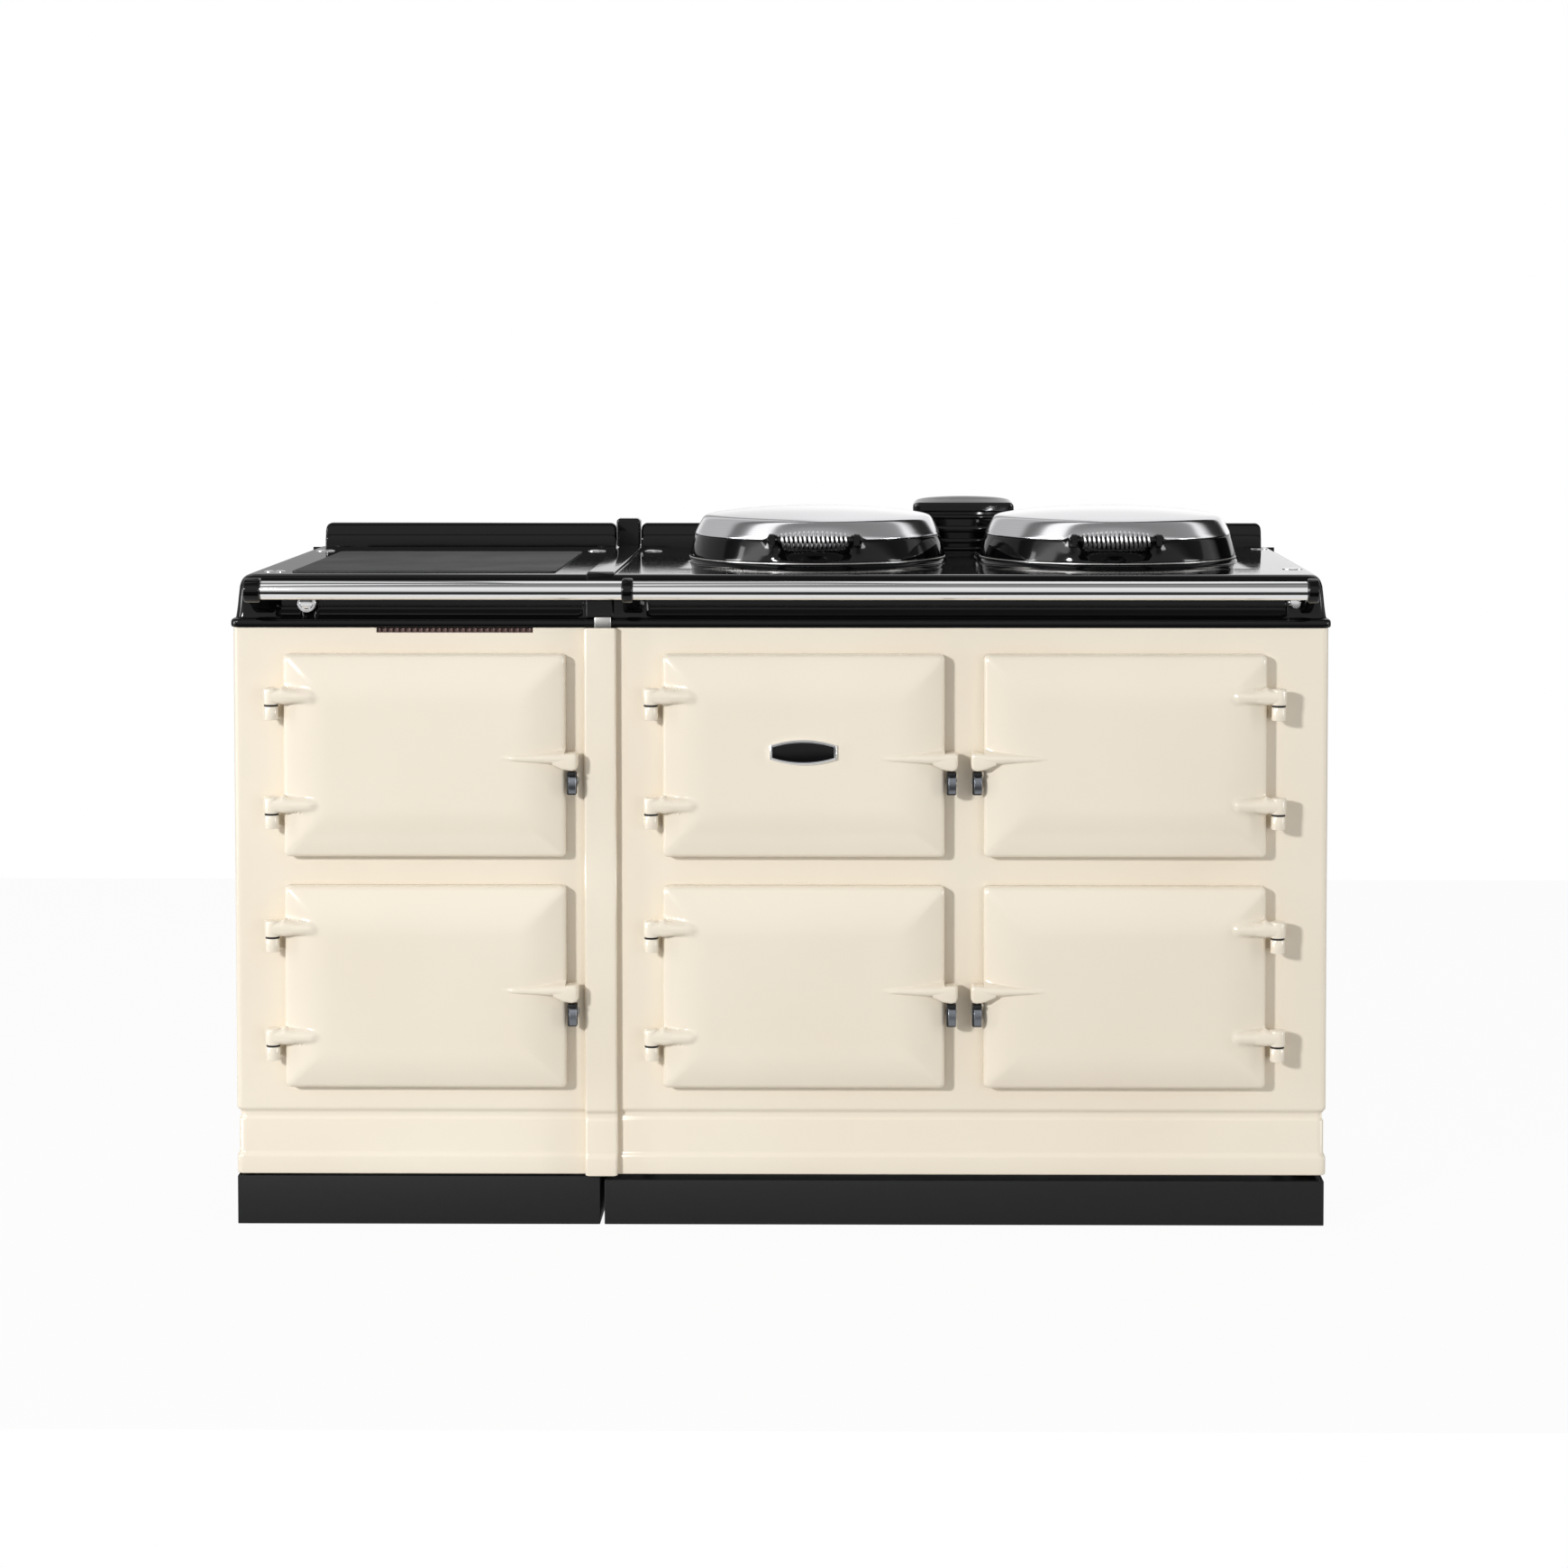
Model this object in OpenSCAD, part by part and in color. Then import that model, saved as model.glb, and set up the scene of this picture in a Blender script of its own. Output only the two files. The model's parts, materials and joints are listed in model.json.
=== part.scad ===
/* [Overall] */
// Width of the enamelled body over both units
body_w = 1476; // [1380:1:1560]
// Width of the main unit, with three ovens and the controls
main_w = 980; // [940:1:1000]
// Depth from the front plates to the back
body_d = 613.5; // [590:0.5:640]
// Height of the hob top above the floor
hob_z = 882.5; // [870:0.5:900]
// How far the handrail stands in front of the front plates
rail_reach = 60; // [54:1:66]

/* [Doors] */
// Width of a door casting
door_w = 379; // [370:1:384]
// Height of a door casting
door_h = 273; // [266:1:276]
// How far the crown of a door stands out
door_crown = 35; // [32:1:40]
// How far the edge of a door stands out
door_edge = 21; // [18:1:24]
// Height of the upper doors' centre
upper_z = 641; // [636:1:646]
// Height of the lower doors' centre
lower_z = 328; // [322:1:334]
// Width of an oven mouth
mouth_w = 300; // [280:1:310]
// Height of an oven mouth
mouth_h = 200; // [180:1:206]
// Depth of an oven behind the front plate
oven_d = 470; // [440:1:480]

/* [Lids] */
// Radius of a lid at its black skirt
lid_r = 183.5; // [180:0.5:185]
// Distance between the two lids' centres
lid_gap = 417; // [412:1:422]
// Turns in a lid handle's coil
coil_turns = 15; // [12:1:16]

/* [Handrails] */
// Radius of a handrail
rail_r = 12.5; // [11:0.5:13]
// Height of a handrail's centre
rail_z = 866.5; // [864:0.5:869]

/* [Hidden] */
$fn = 48;

cream = [0.93, 0.89, 0.80];
black = [0.08, 0.08, 0.09];
steel = [0.70, 0.71, 0.73];
iron = [0.30, 0.30, 0.31];

// Planes of the body, with the origin below the centre of the whole cooker
boss_r = 16.5;
overall_d = body_d + rail_reach + boss_r;
front_y = rail_reach + boss_r - overall_d / 2;
back_y = front_y + body_d;
half_w = body_w / 2;
split_gap = 2;
main_x0 = half_w - main_w;
left_x1 = main_x0 - split_gap;
split_x = main_x0 - split_gap / 2;

// Heights of the front, from the floor up
plinth_left_z = 66;
plinth_main_z = 61;
foot_z = 69;
plate_top_z = 812;
plate_t = 8;
rim_z = plate_top_z;
hob_t = 8;

// Door centres
left_door_x = -477.5;
mid_door_x = 32;
right_door_x = 463.5;

// Door hardware, measured from a door's centre and the front plane
door_gap = 2;
axis_out = 15;
axis_fwd = 27;
arm_zs = [81, -65.5];
knuckle_r = 10.5;
knuckle_h = 22;
pin_r = 4;
run_fit = 0.05;
post_gap = 1.2;
post_h = 18;
pin_up = 17;
pin_low = 4;
latch_z = -3.5;
nose_w = 17.5;
nose_drop = 15.5;
catch_x = 193.5;
catch_w = 10;
catch_h = 34;
catch_gap = 1.5;

// Lids
lid_y = front_y + 320;
lid_x0 = 43.5;
lid_z = 887.5;
seam_z = 920;
hotplate_r = 158;
hole_r = 161;
hotplate_deep = 24;
hotplate_proud = 3.5;
lid_axis_y = front_y + 515;
lid_axis_z = 900;
lid_pin_r = 5;
grip_y = -203;
grip_z = 923;
grip_x = 53.5;
grip_w = 10;
rod_r = 5;
wire_r = 1.5;
coil_end_r = 8;
coil_mid_r = 10.2;
coil_half = 47;
coil_rings = 8;
coil_sides = 6;

// Vent outlet at the back of the hob
vent_x = 258;
vent_w = 151;
vent_y = front_y + 544;
vent_d = 52;
vent_cap_z = 940;

// Outline of the hob's rim, as [distance outside the body, height]
rim = [[-19, hob_z], [-11, hob_z - 5.5], [-7, hob_z - 12.5], [-4.5, hob_z - 32.5], [-1.5, rim_z + 14],
    [2.5, rim_z + 11.5], [3.5, rim_z + 8], [3.5, rim_z + 2], [2.5, rim_z]];

// Outline of the enamelled front and sides, from the top down, as [distance inside, height]
skirt = [[0, plate_top_z], [0, 160], [1, 157], [3.5, 155], [5, 152], [5, 147], [3, 143],
    [3, 98], [1, 95], [0, 92], [0, foot_z]];

module along_x(x0, x1) {
    translate([x0, 0, 0]) rotate([90, 0, 90]) linear_extrude(height = x1 - x0) children();
}

module along_y(y0, y1) {
    translate([0, y1, 0]) rotate([90, 0, 0]) linear_extrude(height = y1 - y0) children();
}

module block(x0, x1, y0, y1, z0, z1) {
    translate([x0, y0, z0]) cube([x1 - x0, y1 - y0, z1 - z0]);
}

// A box with square walls of one thickness, open at the front
module open_box(w, h, d, t) {
    difference() {
        block(-w / 2 - t, w / 2 + t, 0, d + t, -h / 2 - t, h / 2 + t);
        block(-w / 2, w / 2, -1, d, -h / 2, h / 2);
    }
}

module rounded(w, h, r) {
    square([w - 2 * r, h], center = true);
    square([w, h - 2 * r], center = true);
    for (sx = [-1, 1], sz = [-1, 1]) translate([sx * (w / 2 - r), sz * (h / 2 - r)]) circle(r = r);
}

// ---- Base ----

module plinth_boards(x0, x1, top_z) {
    board_t = 3;
    y0 = front_y + 1;
    y1 = back_y - 20;
    y_side = y0 + board_t + 0.5;
    block(x0, x1, y0, y0 + board_t, 0, top_z);
    block(x0, x0 + board_t, y_side, y1, 0, top_z);
    block(x1 - board_t, x1, y_side, y1, 0, top_z);
}

module plinths() {
    color(black) plinth_boards(-half_w + 1, left_x1 - 1, plinth_left_z);
    color(black) plinth_boards(main_x0 + 3, half_w - 2.5, plinth_main_z);
}

frame_z = foot_z + 2;
frame_h = 20;
frame_w = 40;
foot_inset = 60;

module levelling_foot(x, y) {
    translate([x, y, 0]) cylinder(r = 25, h = 8);
    translate([x, y, 8]) cylinder(r1 = 25, r2 = 10, h = 6);
    translate([x, y, 14]) cylinder(r = 8, h = frame_z - 14);
}

module levelling_feet() {
    for (ends = [[-half_w, left_x1], [main_x0, half_w]], y = [front_y + foot_inset, back_y - foot_inset]) {
        color(steel) levelling_foot(ends[0] + foot_inset, y);
        color(steel) levelling_foot(ends[1] - foot_inset, y);
    }
}

// Each frame is four butted bars over the feet
module base_frame(x0, x1) {
    y0 = front_y + 40;
    y1 = back_y - 40;
    for (y = [y0, y1 - frame_w]) block(x0, x1, y, y + frame_w, frame_z, frame_z + frame_h);
    for (x = [x0, x1 - frame_w]) {
        block(x, x + frame_w, y0 + frame_w, y1 - frame_w, frame_z, frame_z + frame_h);
    }
}

module base_frames() {
    color(iron) base_frame(-half_w + 40, left_x1 - 40);
    color(iron) base_frame(main_x0 + 40, half_w - 40);
}

// ---- Enamelled body ----

// Section of a front plate, proud of the front plane by out
module front_section(out, back) {
    polygon(concat([for (p = skirt) [front_y + p[0] - out, p[1]]], [[back, foot_z], [back, plate_top_z]]));
}

// Section across the body between two heights, shaped at the outer side only
module side_section(sgn, inner_x) {
    polygon(concat([for (p = skirt) [sgn * (half_w - p[0]), p[1]]],
        [[inner_x, foot_z], [inner_x, plate_top_z]]));
}

seal_w = 7;
seal_proud = 1.6;
seal_deep = 4;

module seal_ring(t) {
    linear_extrude(height = t) difference() {
        rounded(mouth_w + 24 + seal_w, mouth_h + 24 + seal_w, 16);
        rounded(mouth_w + 24 - seal_w, mouth_h + 24 - seal_w, 12);
    }
}

module door_seal(x, z) {
    translate([x, front_y + seal_deep, z]) rotate([90, 0, 0]) seal_ring(seal_deep + seal_proud);
}

module mouth_cut(x, z) {
    block(x - mouth_w / 2, x + mouth_w / 2, front_y - 5, front_y + plate_t + 5,
        z - mouth_h / 2, z + mouth_h / 2);
    translate([x, front_y + seal_deep, z]) rotate([90, 0, 0]) seal_ring(seal_deep + 5);
}

inlet_x = -438.5;
inlet_w = 217;
inlet_h = 7;
inlet_lean = 7;

module front_plate_left() {
    color(cream) difference() {
        intersection() {
            along_x(-half_w, left_x1) front_section(0, front_y + plate_t);
            along_y(front_y - 1, front_y + plate_t + 1) side_section(-1, left_x1);
        }
        for (z = [upper_z, lower_z]) mouth_cut(left_door_x, z);
        along_y(front_y - 1, front_y + plate_t + 1) polygon([
            [inlet_x - inlet_w / 2, plate_top_z + 1], [inlet_x + inlet_w / 2, plate_top_z + 1],
            [inlet_x + inlet_w / 2 - inlet_lean, plate_top_z - inlet_h],
            [inlet_x - inlet_w / 2 + inlet_lean, plate_top_z - inlet_h]]);
    }
}

module front_plate_main() {
    color(cream) difference() {
        intersection() {
            along_x(main_x0, half_w) front_section(0, front_y + plate_t);
            along_y(front_y - 1, front_y + plate_t + 1) side_section(1, main_x0);
        }
        for (x = [mid_door_x, right_door_x], z = [upper_z, lower_z]) mouth_cut(x, z);
    }
}

strip_w = 44;
strip_proud = 12;

module cover_strip() {
    color(cream) difference() {
        along_x(split_x + 1 - strip_w / 2, split_x + 1 + strip_w / 2) front_section(strip_proud, front_y + 1);
        along_x(split_x - strip_w, split_x + strip_w) front_section(0, front_y + plate_t);
    }
}

module strip_clip() {
    clip_x = -238;
    y0 = front_y - strip_proud;
    color(steel) block(clip_x - 11, clip_x + 11, y0, y0 + 8, plate_top_z, plate_top_z + 15);
}

module side_panels() {
    side_t = 3;
    for (sgn = [-1, 1]) color(cream) difference() {
        along_y(front_y + plate_t, back_y - 4) side_section(sgn, sgn * (half_w - 12));
        along_y(front_y, back_y) polygon([for (p = concat([[0, plate_top_z + 5]], skirt, [[0, foot_z - 5],
            [20, foot_z - 5], [20, plate_top_z + 5]])) [sgn * (half_w - side_t - p[0]), p[1]]]);
    }
}

gland_x = 560;
gland_z = 150;
gland_r = 8;
back_t = 3;
back_out = 7.5;

module back_panels() {
    y1 = back_y - back_out;
    color(steel) block(-half_w + 9, left_x1 - 4, y1 - back_t, y1, foot_z + 8, rim_z - 1);
    color(steel) difference() {
        block(main_x0 + 4, half_w - 9, y1 - back_t, y1, foot_z + 8, rim_z - 1);
        translate([gland_x, y1 + 5, gland_z]) rotate([90, 0, 0]) cylinder(r = 13, h = 20);
    }
}

// ---- Hob ----

// Solid outline of the hob over one unit, rounded at the front and at the outer side
module hob_outline(sgn, inner_x, grow) {
    outer_x = half_w + 20;
    intersection() {
        along_x(min(inner_x, sgn * outer_x), max(inner_x, sgn * outer_x)) polygon(concat(
            [for (p = rim) [front_y - p[0] - grow, p[1] + grow]],
            [[back_y, rim_z + grow], [back_y, hob_z + grow]]));
        along_y(front_y - 40, back_y + 1) polygon(concat(
            [for (p = rim) [sgn * (half_w + p[0]), p[1] + grow]],
            [[inner_x, rim_z + grow], [inner_x, hob_z + grow]]));
    }
}

module fascia_recess(x0, x1) {
    translate([(x0 + x1) / 2, front_y + 14, (rim_z + 14 + hob_z - 15) / 2]) rotate([90, 0, 0])
        linear_extrude(height = 30) rounded(x1 - x0, hob_z - 15 - rim_z - 14, 6);
}

warm_x0 = -668;
warm_x1 = -308;
warm_y0 = front_y + 55;
warm_y1 = front_y + 466;
warm_deep = 5;
top_gap = 2;

button_x = -638;
button_z = 845;
button_r = 13;
button_stem_r = 9;
knob_x = 691.5;
knob_z = 847.5;
knob_r = 8;
spindle_r = 3;

module top_plate_left() {
    color(black) difference() {
        hob_outline(-1, split_x - top_gap, 0);
        block(-half_w + 16, left_x1 - 12, front_y + 30, back_y - 12, rim_z - 1, hob_z - hob_t);
        fascia_recess(-680, -266);
        block(warm_x0 - 0.5, warm_x1 + 0.5, warm_y0 - 0.5, warm_y1 + 0.5, hob_z - warm_deep, hob_z + 1);
        translate([button_x, front_y + 40, button_z]) rotate([90, 0, 0])
            cylinder(r = button_stem_r + run_fit, h = 40);
    }
}

// Collar under the hob with an inner ledge that a hotplate rests on
module hotplate_collar(x) {
    collar_t = 9;
    translate([x, lid_y, hob_z - hotplate_deep - collar_t]) rotate_extrude($fn = 96) polygon([
        [hole_r - 11, 0], [hole_r + collar_t, 0], [hole_r + collar_t, hotplate_deep + collar_t - hob_t],
        [hole_r, hotplate_deep + collar_t - hob_t], [hole_r, collar_t], [hole_r - 11, collar_t]]);
}

module hotplate_hole(x) {
    translate([x, lid_y, hob_z - hotplate_deep]) cylinder(r = hole_r, h = hotplate_deep + 10, $fn = 96);
}

// A low seat on which each lid's skirt closes
module lid_seat(x) {
    translate([x, lid_y, hob_z - 1]) cylinder(r = lid_r + 1, h = 5, $fn = 96);
}

module top_plate_main() {
    color(black) difference() {
        union() {
            difference() {
                hob_outline(1, split_x + top_gap, 0);
                block(main_x0 + 12, half_w - 16, front_y + 30, back_y - 12, rim_z - 1, hob_z - hob_t);
            }
            for (i = [0, 1]) {
                lid_seat(lid_x0 + i * lid_gap);
                hotplate_collar(lid_x0 + i * lid_gap);
            }
        }
        fascia_recess(-180, 682);
        for (i = [0, 1]) hotplate_hole(lid_x0 + i * lid_gap);
        translate([knob_x, front_y + 40, knob_z]) rotate([90, 0, 0])
            cylinder(r = spindle_r + run_fit, h = 45);
    }
}

joint_w = 38;
joint_t = 3.5;

module joint_strip() {
    post_x = -250;
    color(black) difference() {
        union() {
            intersection() {
                hob_outline(-1, 0, joint_t);
                block(split_x - joint_w / 2, split_x + joint_w / 2, front_y - 20, back_y - 26,
                    rim_z + 16, hob_z + 10);
            }
            along_y(back_y - 28, back_y) translate([post_x, hob_z + 22]) rounded(36, 44, 6);
        }
        hob_outline(-1, 0, 0);
    }
}

upstand_z = 919;

module upstand(x0, x1) {
    end_r = 9;
    intersection() {
        along_x(x0, x1) polygon([[back_y - 23.5, hob_z], [back_y - 23, 898], [back_y - 20.5, 902],
            [back_y - 18, upstand_z - 4], [back_y - 14, upstand_z], [back_y, upstand_z], [back_y, hob_z]]);
        along_y(back_y - 40, back_y + 1) polygon([[x0, hob_z], [x0, upstand_z - end_r],
            [x0 + end_r / 3, upstand_z - end_r / 3], [x0 + end_r, upstand_z], [x1 - end_r, upstand_z],
            [x1 - end_r / 3, upstand_z - end_r / 3], [x1, upstand_z - end_r], [x1, hob_z]]);
    }
}

module upstands() {
    color(black) upstand(-712, -269);
    color(black) upstand(-231, 712);
}

module vent_body() {
    slats = [[hob_z, 887.5], [892.5, 900], [909, 919], [929, 936]];
    color(black) union() {
        block(vent_x - 64, vent_x + 64, vent_y - 17, vent_y + 17, hob_z, vent_cap_z);
        for (s = slats) block(vent_x - 71, vent_x + 71, vent_y - 22, vent_y + 22, s[0], s[1]);
    }
}

module vent_cap() {
    cap = [[-1, 0], [-1, 0.5], [-0.92, 0.7], [-0.6, 0.93], [0, 1], [0.6, 0.93], [0.92, 0.7], [1, 0.5], [1, 0]];
    cap_h = 22.5;
    end_lean = 14;
    color(black) intersection() {
        along_x(vent_x - vent_w / 2, vent_x + vent_w / 2)
            polygon([for (p = cap) [vent_y + p[0] * vent_d / 2, vent_cap_z + p[1] * cap_h]]);
        along_y(vent_y - vent_d, vent_y + vent_d) polygon([for (p = cap)
            [vent_x + sign(p[0]) * (vent_w / 2 - end_lean * (1 - abs(p[0]))), vent_cap_z + p[1] * cap_h]]);
    }
}

module warming_plate() {
    color(iron) block(warm_x0, warm_x1, warm_y0, warm_y1, hob_z - warm_deep, hob_z + 2);
}

cap_spots = [[-693, 67], [-696, 500], [-290, 500], [-206, 500], [704, 130], [704, 560]];

module plate_caps() {
    for (p = cap_spots) color(steel)
        translate([p[0], front_y + p[1], hob_z]) cylinder(r1 = 14, r2 = 12, h = 2.2);
}

module hotplates() {
    top = hotplate_deep + hotplate_proud;
    for (i = [0, 1]) color(iron) translate([lid_x0 + i * lid_gap, lid_y, hob_z - hotplate_deep])
        rotate_extrude($fn = 96) polygon([[0, 0], [hotplate_r, 0], [hotplate_r, top - 1.5],
            [hotplate_r - 1.5, top], [0, top]]);
}

// ---- Handrails ----

socket_d = 4;

module rail(x0, x1) {
    translate([x0, front_y - rail_reach, rail_z]) rotate([0, 90, 0]) cylinder(r = rail_r, h = x1 - x0);
}

left_boss = [-710, -688];
mid_boss = [-208, -193];
right_boss = [701, 716];

module handrails() {
    color(steel) rail(left_boss[1] - socket_d, mid_boss[0] + socket_d);
    color(steel) rail(mid_boss[1] - socket_d, right_boss[0] + socket_d);
}

module rail_bracket(boss, foot) {
    y = front_y - rail_reach;
    translate([boss[0], y, rail_z]) rotate([0, 90, 0]) cylinder(r = boss_r, h = boss[1] - boss[0]);
    along_x(boss[0], boss[1]) polygon([[y, rail_z + boss_r], [y + 22, rail_z + 7], [front_y + 12, rail_z + 1],
        [front_y + 12, rail_z - 30], [y + 30, rail_z - 24], [y, rail_z - boss_r]]);
    along_y(front_y - 5, front_y + 12) polygon([[boss[0], rail_z - boss_r], [boss[1], rail_z - boss_r],
        [foot[1], rail_z - 32.5], [foot[1], rail_z - 37.5],
        [foot[0], rail_z - 37.5], [foot[0], rail_z - 32.5]]);
}

module rail_brackets() {
    color(black) difference() {
        union() {
            rail_bracket(left_boss, [-710, -674]);
            rail_bracket(mid_boss, [-215, -176]);
            rail_bracket(right_boss, [697, 716]);
        }
        rail(left_boss[1] - socket_d, mid_boss[0] + socket_d);
        rail(mid_boss[1] - socket_d, right_boss[0] + socket_d);
        hob_outline(-1, split_x - top_gap, 0);
        hob_outline(1, split_x + top_gap, 0);
    }
}

// ---- Doors ----

fade = 62;
edge_roll = 3;

// Height of a door's face at a distance u in from its edge
function crown(u) = u < edge_roll
    ? door_edge - edge_roll * (1 - u / edge_roll)
    : door_edge + (door_crown - door_edge) * (1 - pow(1 - min(u - edge_roll, fade) / fade, 2));

function crown_outline(w) = let (steps = [0, edge_roll, 15, 28, 42, edge_roll + fade]) concat(
    [[-w / 2, -door_gap]],
    [for (u = steps) [u - w / 2, -crown(u)]],
    [for (i = [len(steps) - 1 : -1 : 0]) [w / 2 - steps[i], -crown(steps[i])]],
    [[w / 2, -door_gap]]);

shell_t = 7;
panel_t = 14;
arm_in = 43;
rib_in = 72;
hollow_in = 55;

// A door hinged at its left edge, centred on its own middle with the front plane at y 0
module left_hung_casting() {
    axis_x = -door_w / 2 - axis_out;
    difference() {
        union() {
            intersection() {
                linear_extrude(height = door_h, center = true) polygon(crown_outline(door_w));
                rotate([0, -90, 0]) linear_extrude(height = door_w, center = true)
                    polygon(crown_outline(door_h));
                rotate([90, 0, 0]) linear_extrude(height = door_crown + 5) rounded(door_w, door_h, 7);
            }
            for (z = arm_zs) {
                translate([axis_x, -axis_fwd, z - knuckle_h / 2]) cylinder(r = knuckle_r, h = knuckle_h);
                translate([axis_x, -axis_fwd, z]) rotate([0, 90, 0])
                    cylinder(r1 = 9.5, r2 = 5, h = axis_out + arm_in);
            }
            translate([door_w / 2 - rib_in, -31, latch_z]) rotate([0, 90, 0])
                cylinder(r1 = 2.5, r2 = 7.5, h = rib_in + 8);
            block(door_w / 2 - 8, door_w / 2 + nose_w, -38.5, -9, latch_z - nose_drop, latch_z + 7.5);
        }
        block(-door_w / 2 + shell_t, door_w / 2 - shell_t, -door_gap - panel_t, 1,
            -door_h / 2 + shell_t, door_h / 2 - shell_t);
        block(-door_w / 2 + hollow_in, door_w / 2 - hollow_in, -door_crown + 8, 1,
            -door_h / 2 + hollow_in, door_h / 2 - hollow_in);
        for (z = arm_zs) translate([axis_x, -axis_fwd, z - knuckle_h / 2 - 1])
            cylinder(r = pin_r + run_fit, h = pin_up + 2);
    }
}

// side is 1 where the hinge is at the left of the door and -1 where it is at the right
module door_casting(x, z, side) {
    color(cream) translate([x, front_y, z]) {
        if (side > 0) left_hung_casting();
        else mirror([1, 0, 0]) left_hung_casting();
    }
}

// Insulated inner panel that closes the back of a casting
module door_panel(x, z) {
    w = door_w - 2 * shell_t - 0.4;
    h = door_h - 2 * shell_t - 0.4;
    color(steel) translate([x, front_y, z]) difference() {
        block(-w / 2, w / 2, -door_gap - panel_t, -door_gap, -h / 2, h / 2);
        difference() {
            block(-w / 2 + 26, w / 2 - 26, -door_gap - 2, 1, -h / 2 + 26, h / 2 - 26);
            block(-w / 2 + 32, w / 2 - 32, -door_gap - 3, 2, -h / 2 + 32, h / 2 - 32);
        }
    }
}

module roasting_door() door_casting(right_door_x, upper_z, -1);
module baking_door() door_casting(mid_door_x, lower_z, 1);
module simmering_door() door_casting(right_door_x, lower_z, -1);
module control_door() door_casting(mid_door_x, upper_z, 1);
module upper_warming_door() door_casting(left_door_x, upper_z, 1);
module lower_warming_door() door_casting(left_door_x, lower_z, 1);

module roasting_door_panel() door_panel(right_door_x, upper_z);
module baking_door_panel() door_panel(mid_door_x, lower_z);
module simmering_door_panel() door_panel(right_door_x, lower_z);
module control_door_panel() door_panel(mid_door_x, upper_z);
module upper_warming_door_panel() door_panel(left_door_x, upper_z);
module lower_warming_door_panel() door_panel(left_door_x, lower_z);

doors = [[left_door_x, upper_z, 1], [left_door_x, lower_z, 1], [mid_door_x, upper_z, 1],
    [mid_door_x, lower_z, 1], [right_door_x, upper_z, -1], [right_door_x, lower_z, -1]];

// Top of a hinge post below the arm at height z
function post_top(z) = z - knuckle_h / 2 - post_gap;

module hinge_posts() {
    for (d = doors, z = arm_zs) {
        x = d[0] - d[2] * (door_w / 2 + axis_out);
        top = d[1] + post_top(z);
        color(cream) difference() {
            union() {
                translate([x, front_y - axis_fwd, top - post_h]) cylinder(r = 9.8, h = post_h);
                block(x - 7, x + 7, front_y - axis_fwd, front_y, top - post_h + 2, top - 2);
            }
            translate([x, front_y - axis_fwd, top - post_h + pin_low]) cylinder(r = pin_r + run_fit, h = post_h);
        }
    }
}

module hinge_pins() {
    for (d = doors, z = arm_zs) {
        x = d[0] - d[2] * (door_w / 2 + axis_out);
        top = d[1] + post_top(z);
        color(steel) translate([x, front_y - axis_fwd, top - post_h + pin_low])
            cylinder(r = pin_r, h = post_h - pin_low + pin_up);
    }
    for (i = [0, 1]) color(steel) translate([lid_x0 + i * lid_gap - 36, lid_axis_y, lid_axis_z])
        rotate([0, 90, 0]) cylinder(r = lid_pin_r, h = 72);
}

module door_catches() {
    for (d = doors) {
        x = d[0] + d[2] * (catch_x + catch_w / 2);
        top = d[1] + latch_z - nose_drop - catch_gap;
        color(steel) union() {
            block(x - catch_w / 2, x + catch_w / 2, front_y - 32, front_y - 18, top - catch_h, top);
            translate([x, front_y, top - catch_h / 2]) rotate([90, 0, 0]) cylinder(r = 4.5, h = 20);
        }
    }
}

module door_seals() {
    for (d = doors) color([0.85, 0.83, 0.78]) door_seal(d[0], d[1]);
}

badge_w = 90;
badge_h = 34;
badge_bow = 7.5;

module badge() {
    bow_r = (badge_w * badge_w / 4 + badge_bow * badge_bow) / (2 * badge_bow);
    color(steel) translate([mid_door_x, front_y - door_crown, upper_z + 7]) rotate([90, 0, 0])
        linear_extrude(height = 4) intersection() {
            square([badge_w, badge_h], center = true);
            translate([0, badge_h / 2 - bow_r]) circle(r = bow_r, $fn = 180);
            translate([0, bow_r - badge_h / 2]) circle(r = bow_r, $fn = 180);
        }
}

// ---- Ovens ----

wall_t = 6;
runner = 8;
runner_t = 4;
runner_zs = [-4, -52];

module oven(x, z) {
    color(iron) translate([x, front_y + plate_t, z]) union() {
        open_box(mouth_w, mouth_h, oven_d, wall_t);
        for (h = runner_zs) {
            block(-mouth_w / 2, -mouth_w / 2 + runner, 20, oven_d, h - runner_t, h);
            block(mouth_w / 2 - runner, mouth_w / 2, 20, oven_d, h - runner_t, h);
        }
    }
}

module roasting_oven() oven(right_door_x, upper_z);
module baking_oven() oven(mid_door_x, lower_z);
module simmering_oven() oven(right_door_x, lower_z);
module upper_warming_oven() oven(left_door_x, upper_z);
module lower_warming_oven() oven(left_door_x, lower_z);

ovens = [[right_door_x, upper_z], [mid_door_x, lower_z], [right_door_x, lower_z],
    [left_door_x, upper_z], [left_door_x, lower_z]];

shelf_d = 420;
shelf_bars = 11;

module grid_shelf() {
    w = mouth_w - 6;
    for (x = [-w / 2 + 3, w / 2 - 3]) translate([x, 0, 3]) rotate([-90, 0, 0]) cylinder(r = 3, h = shelf_d);
    for (y = [3, shelf_d - 3]) translate([-w / 2 + 3, y, 3]) rotate([0, 90, 0]) cylinder(r = 2.8, h = w - 6);
    for (i = [1 : shelf_bars]) translate([-w / 2 + i * w / (shelf_bars + 1), 3, 3])
        rotate([-90, 0, 0]) cylinder(r = 2, h = shelf_d - 6);
}

module grid_shelves() {
    for (o = ovens) color(steel) translate([o[0], front_y + plate_t + 30, o[1] + runner_zs[0]]) grid_shelf();
}

element_t = 4;

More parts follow.
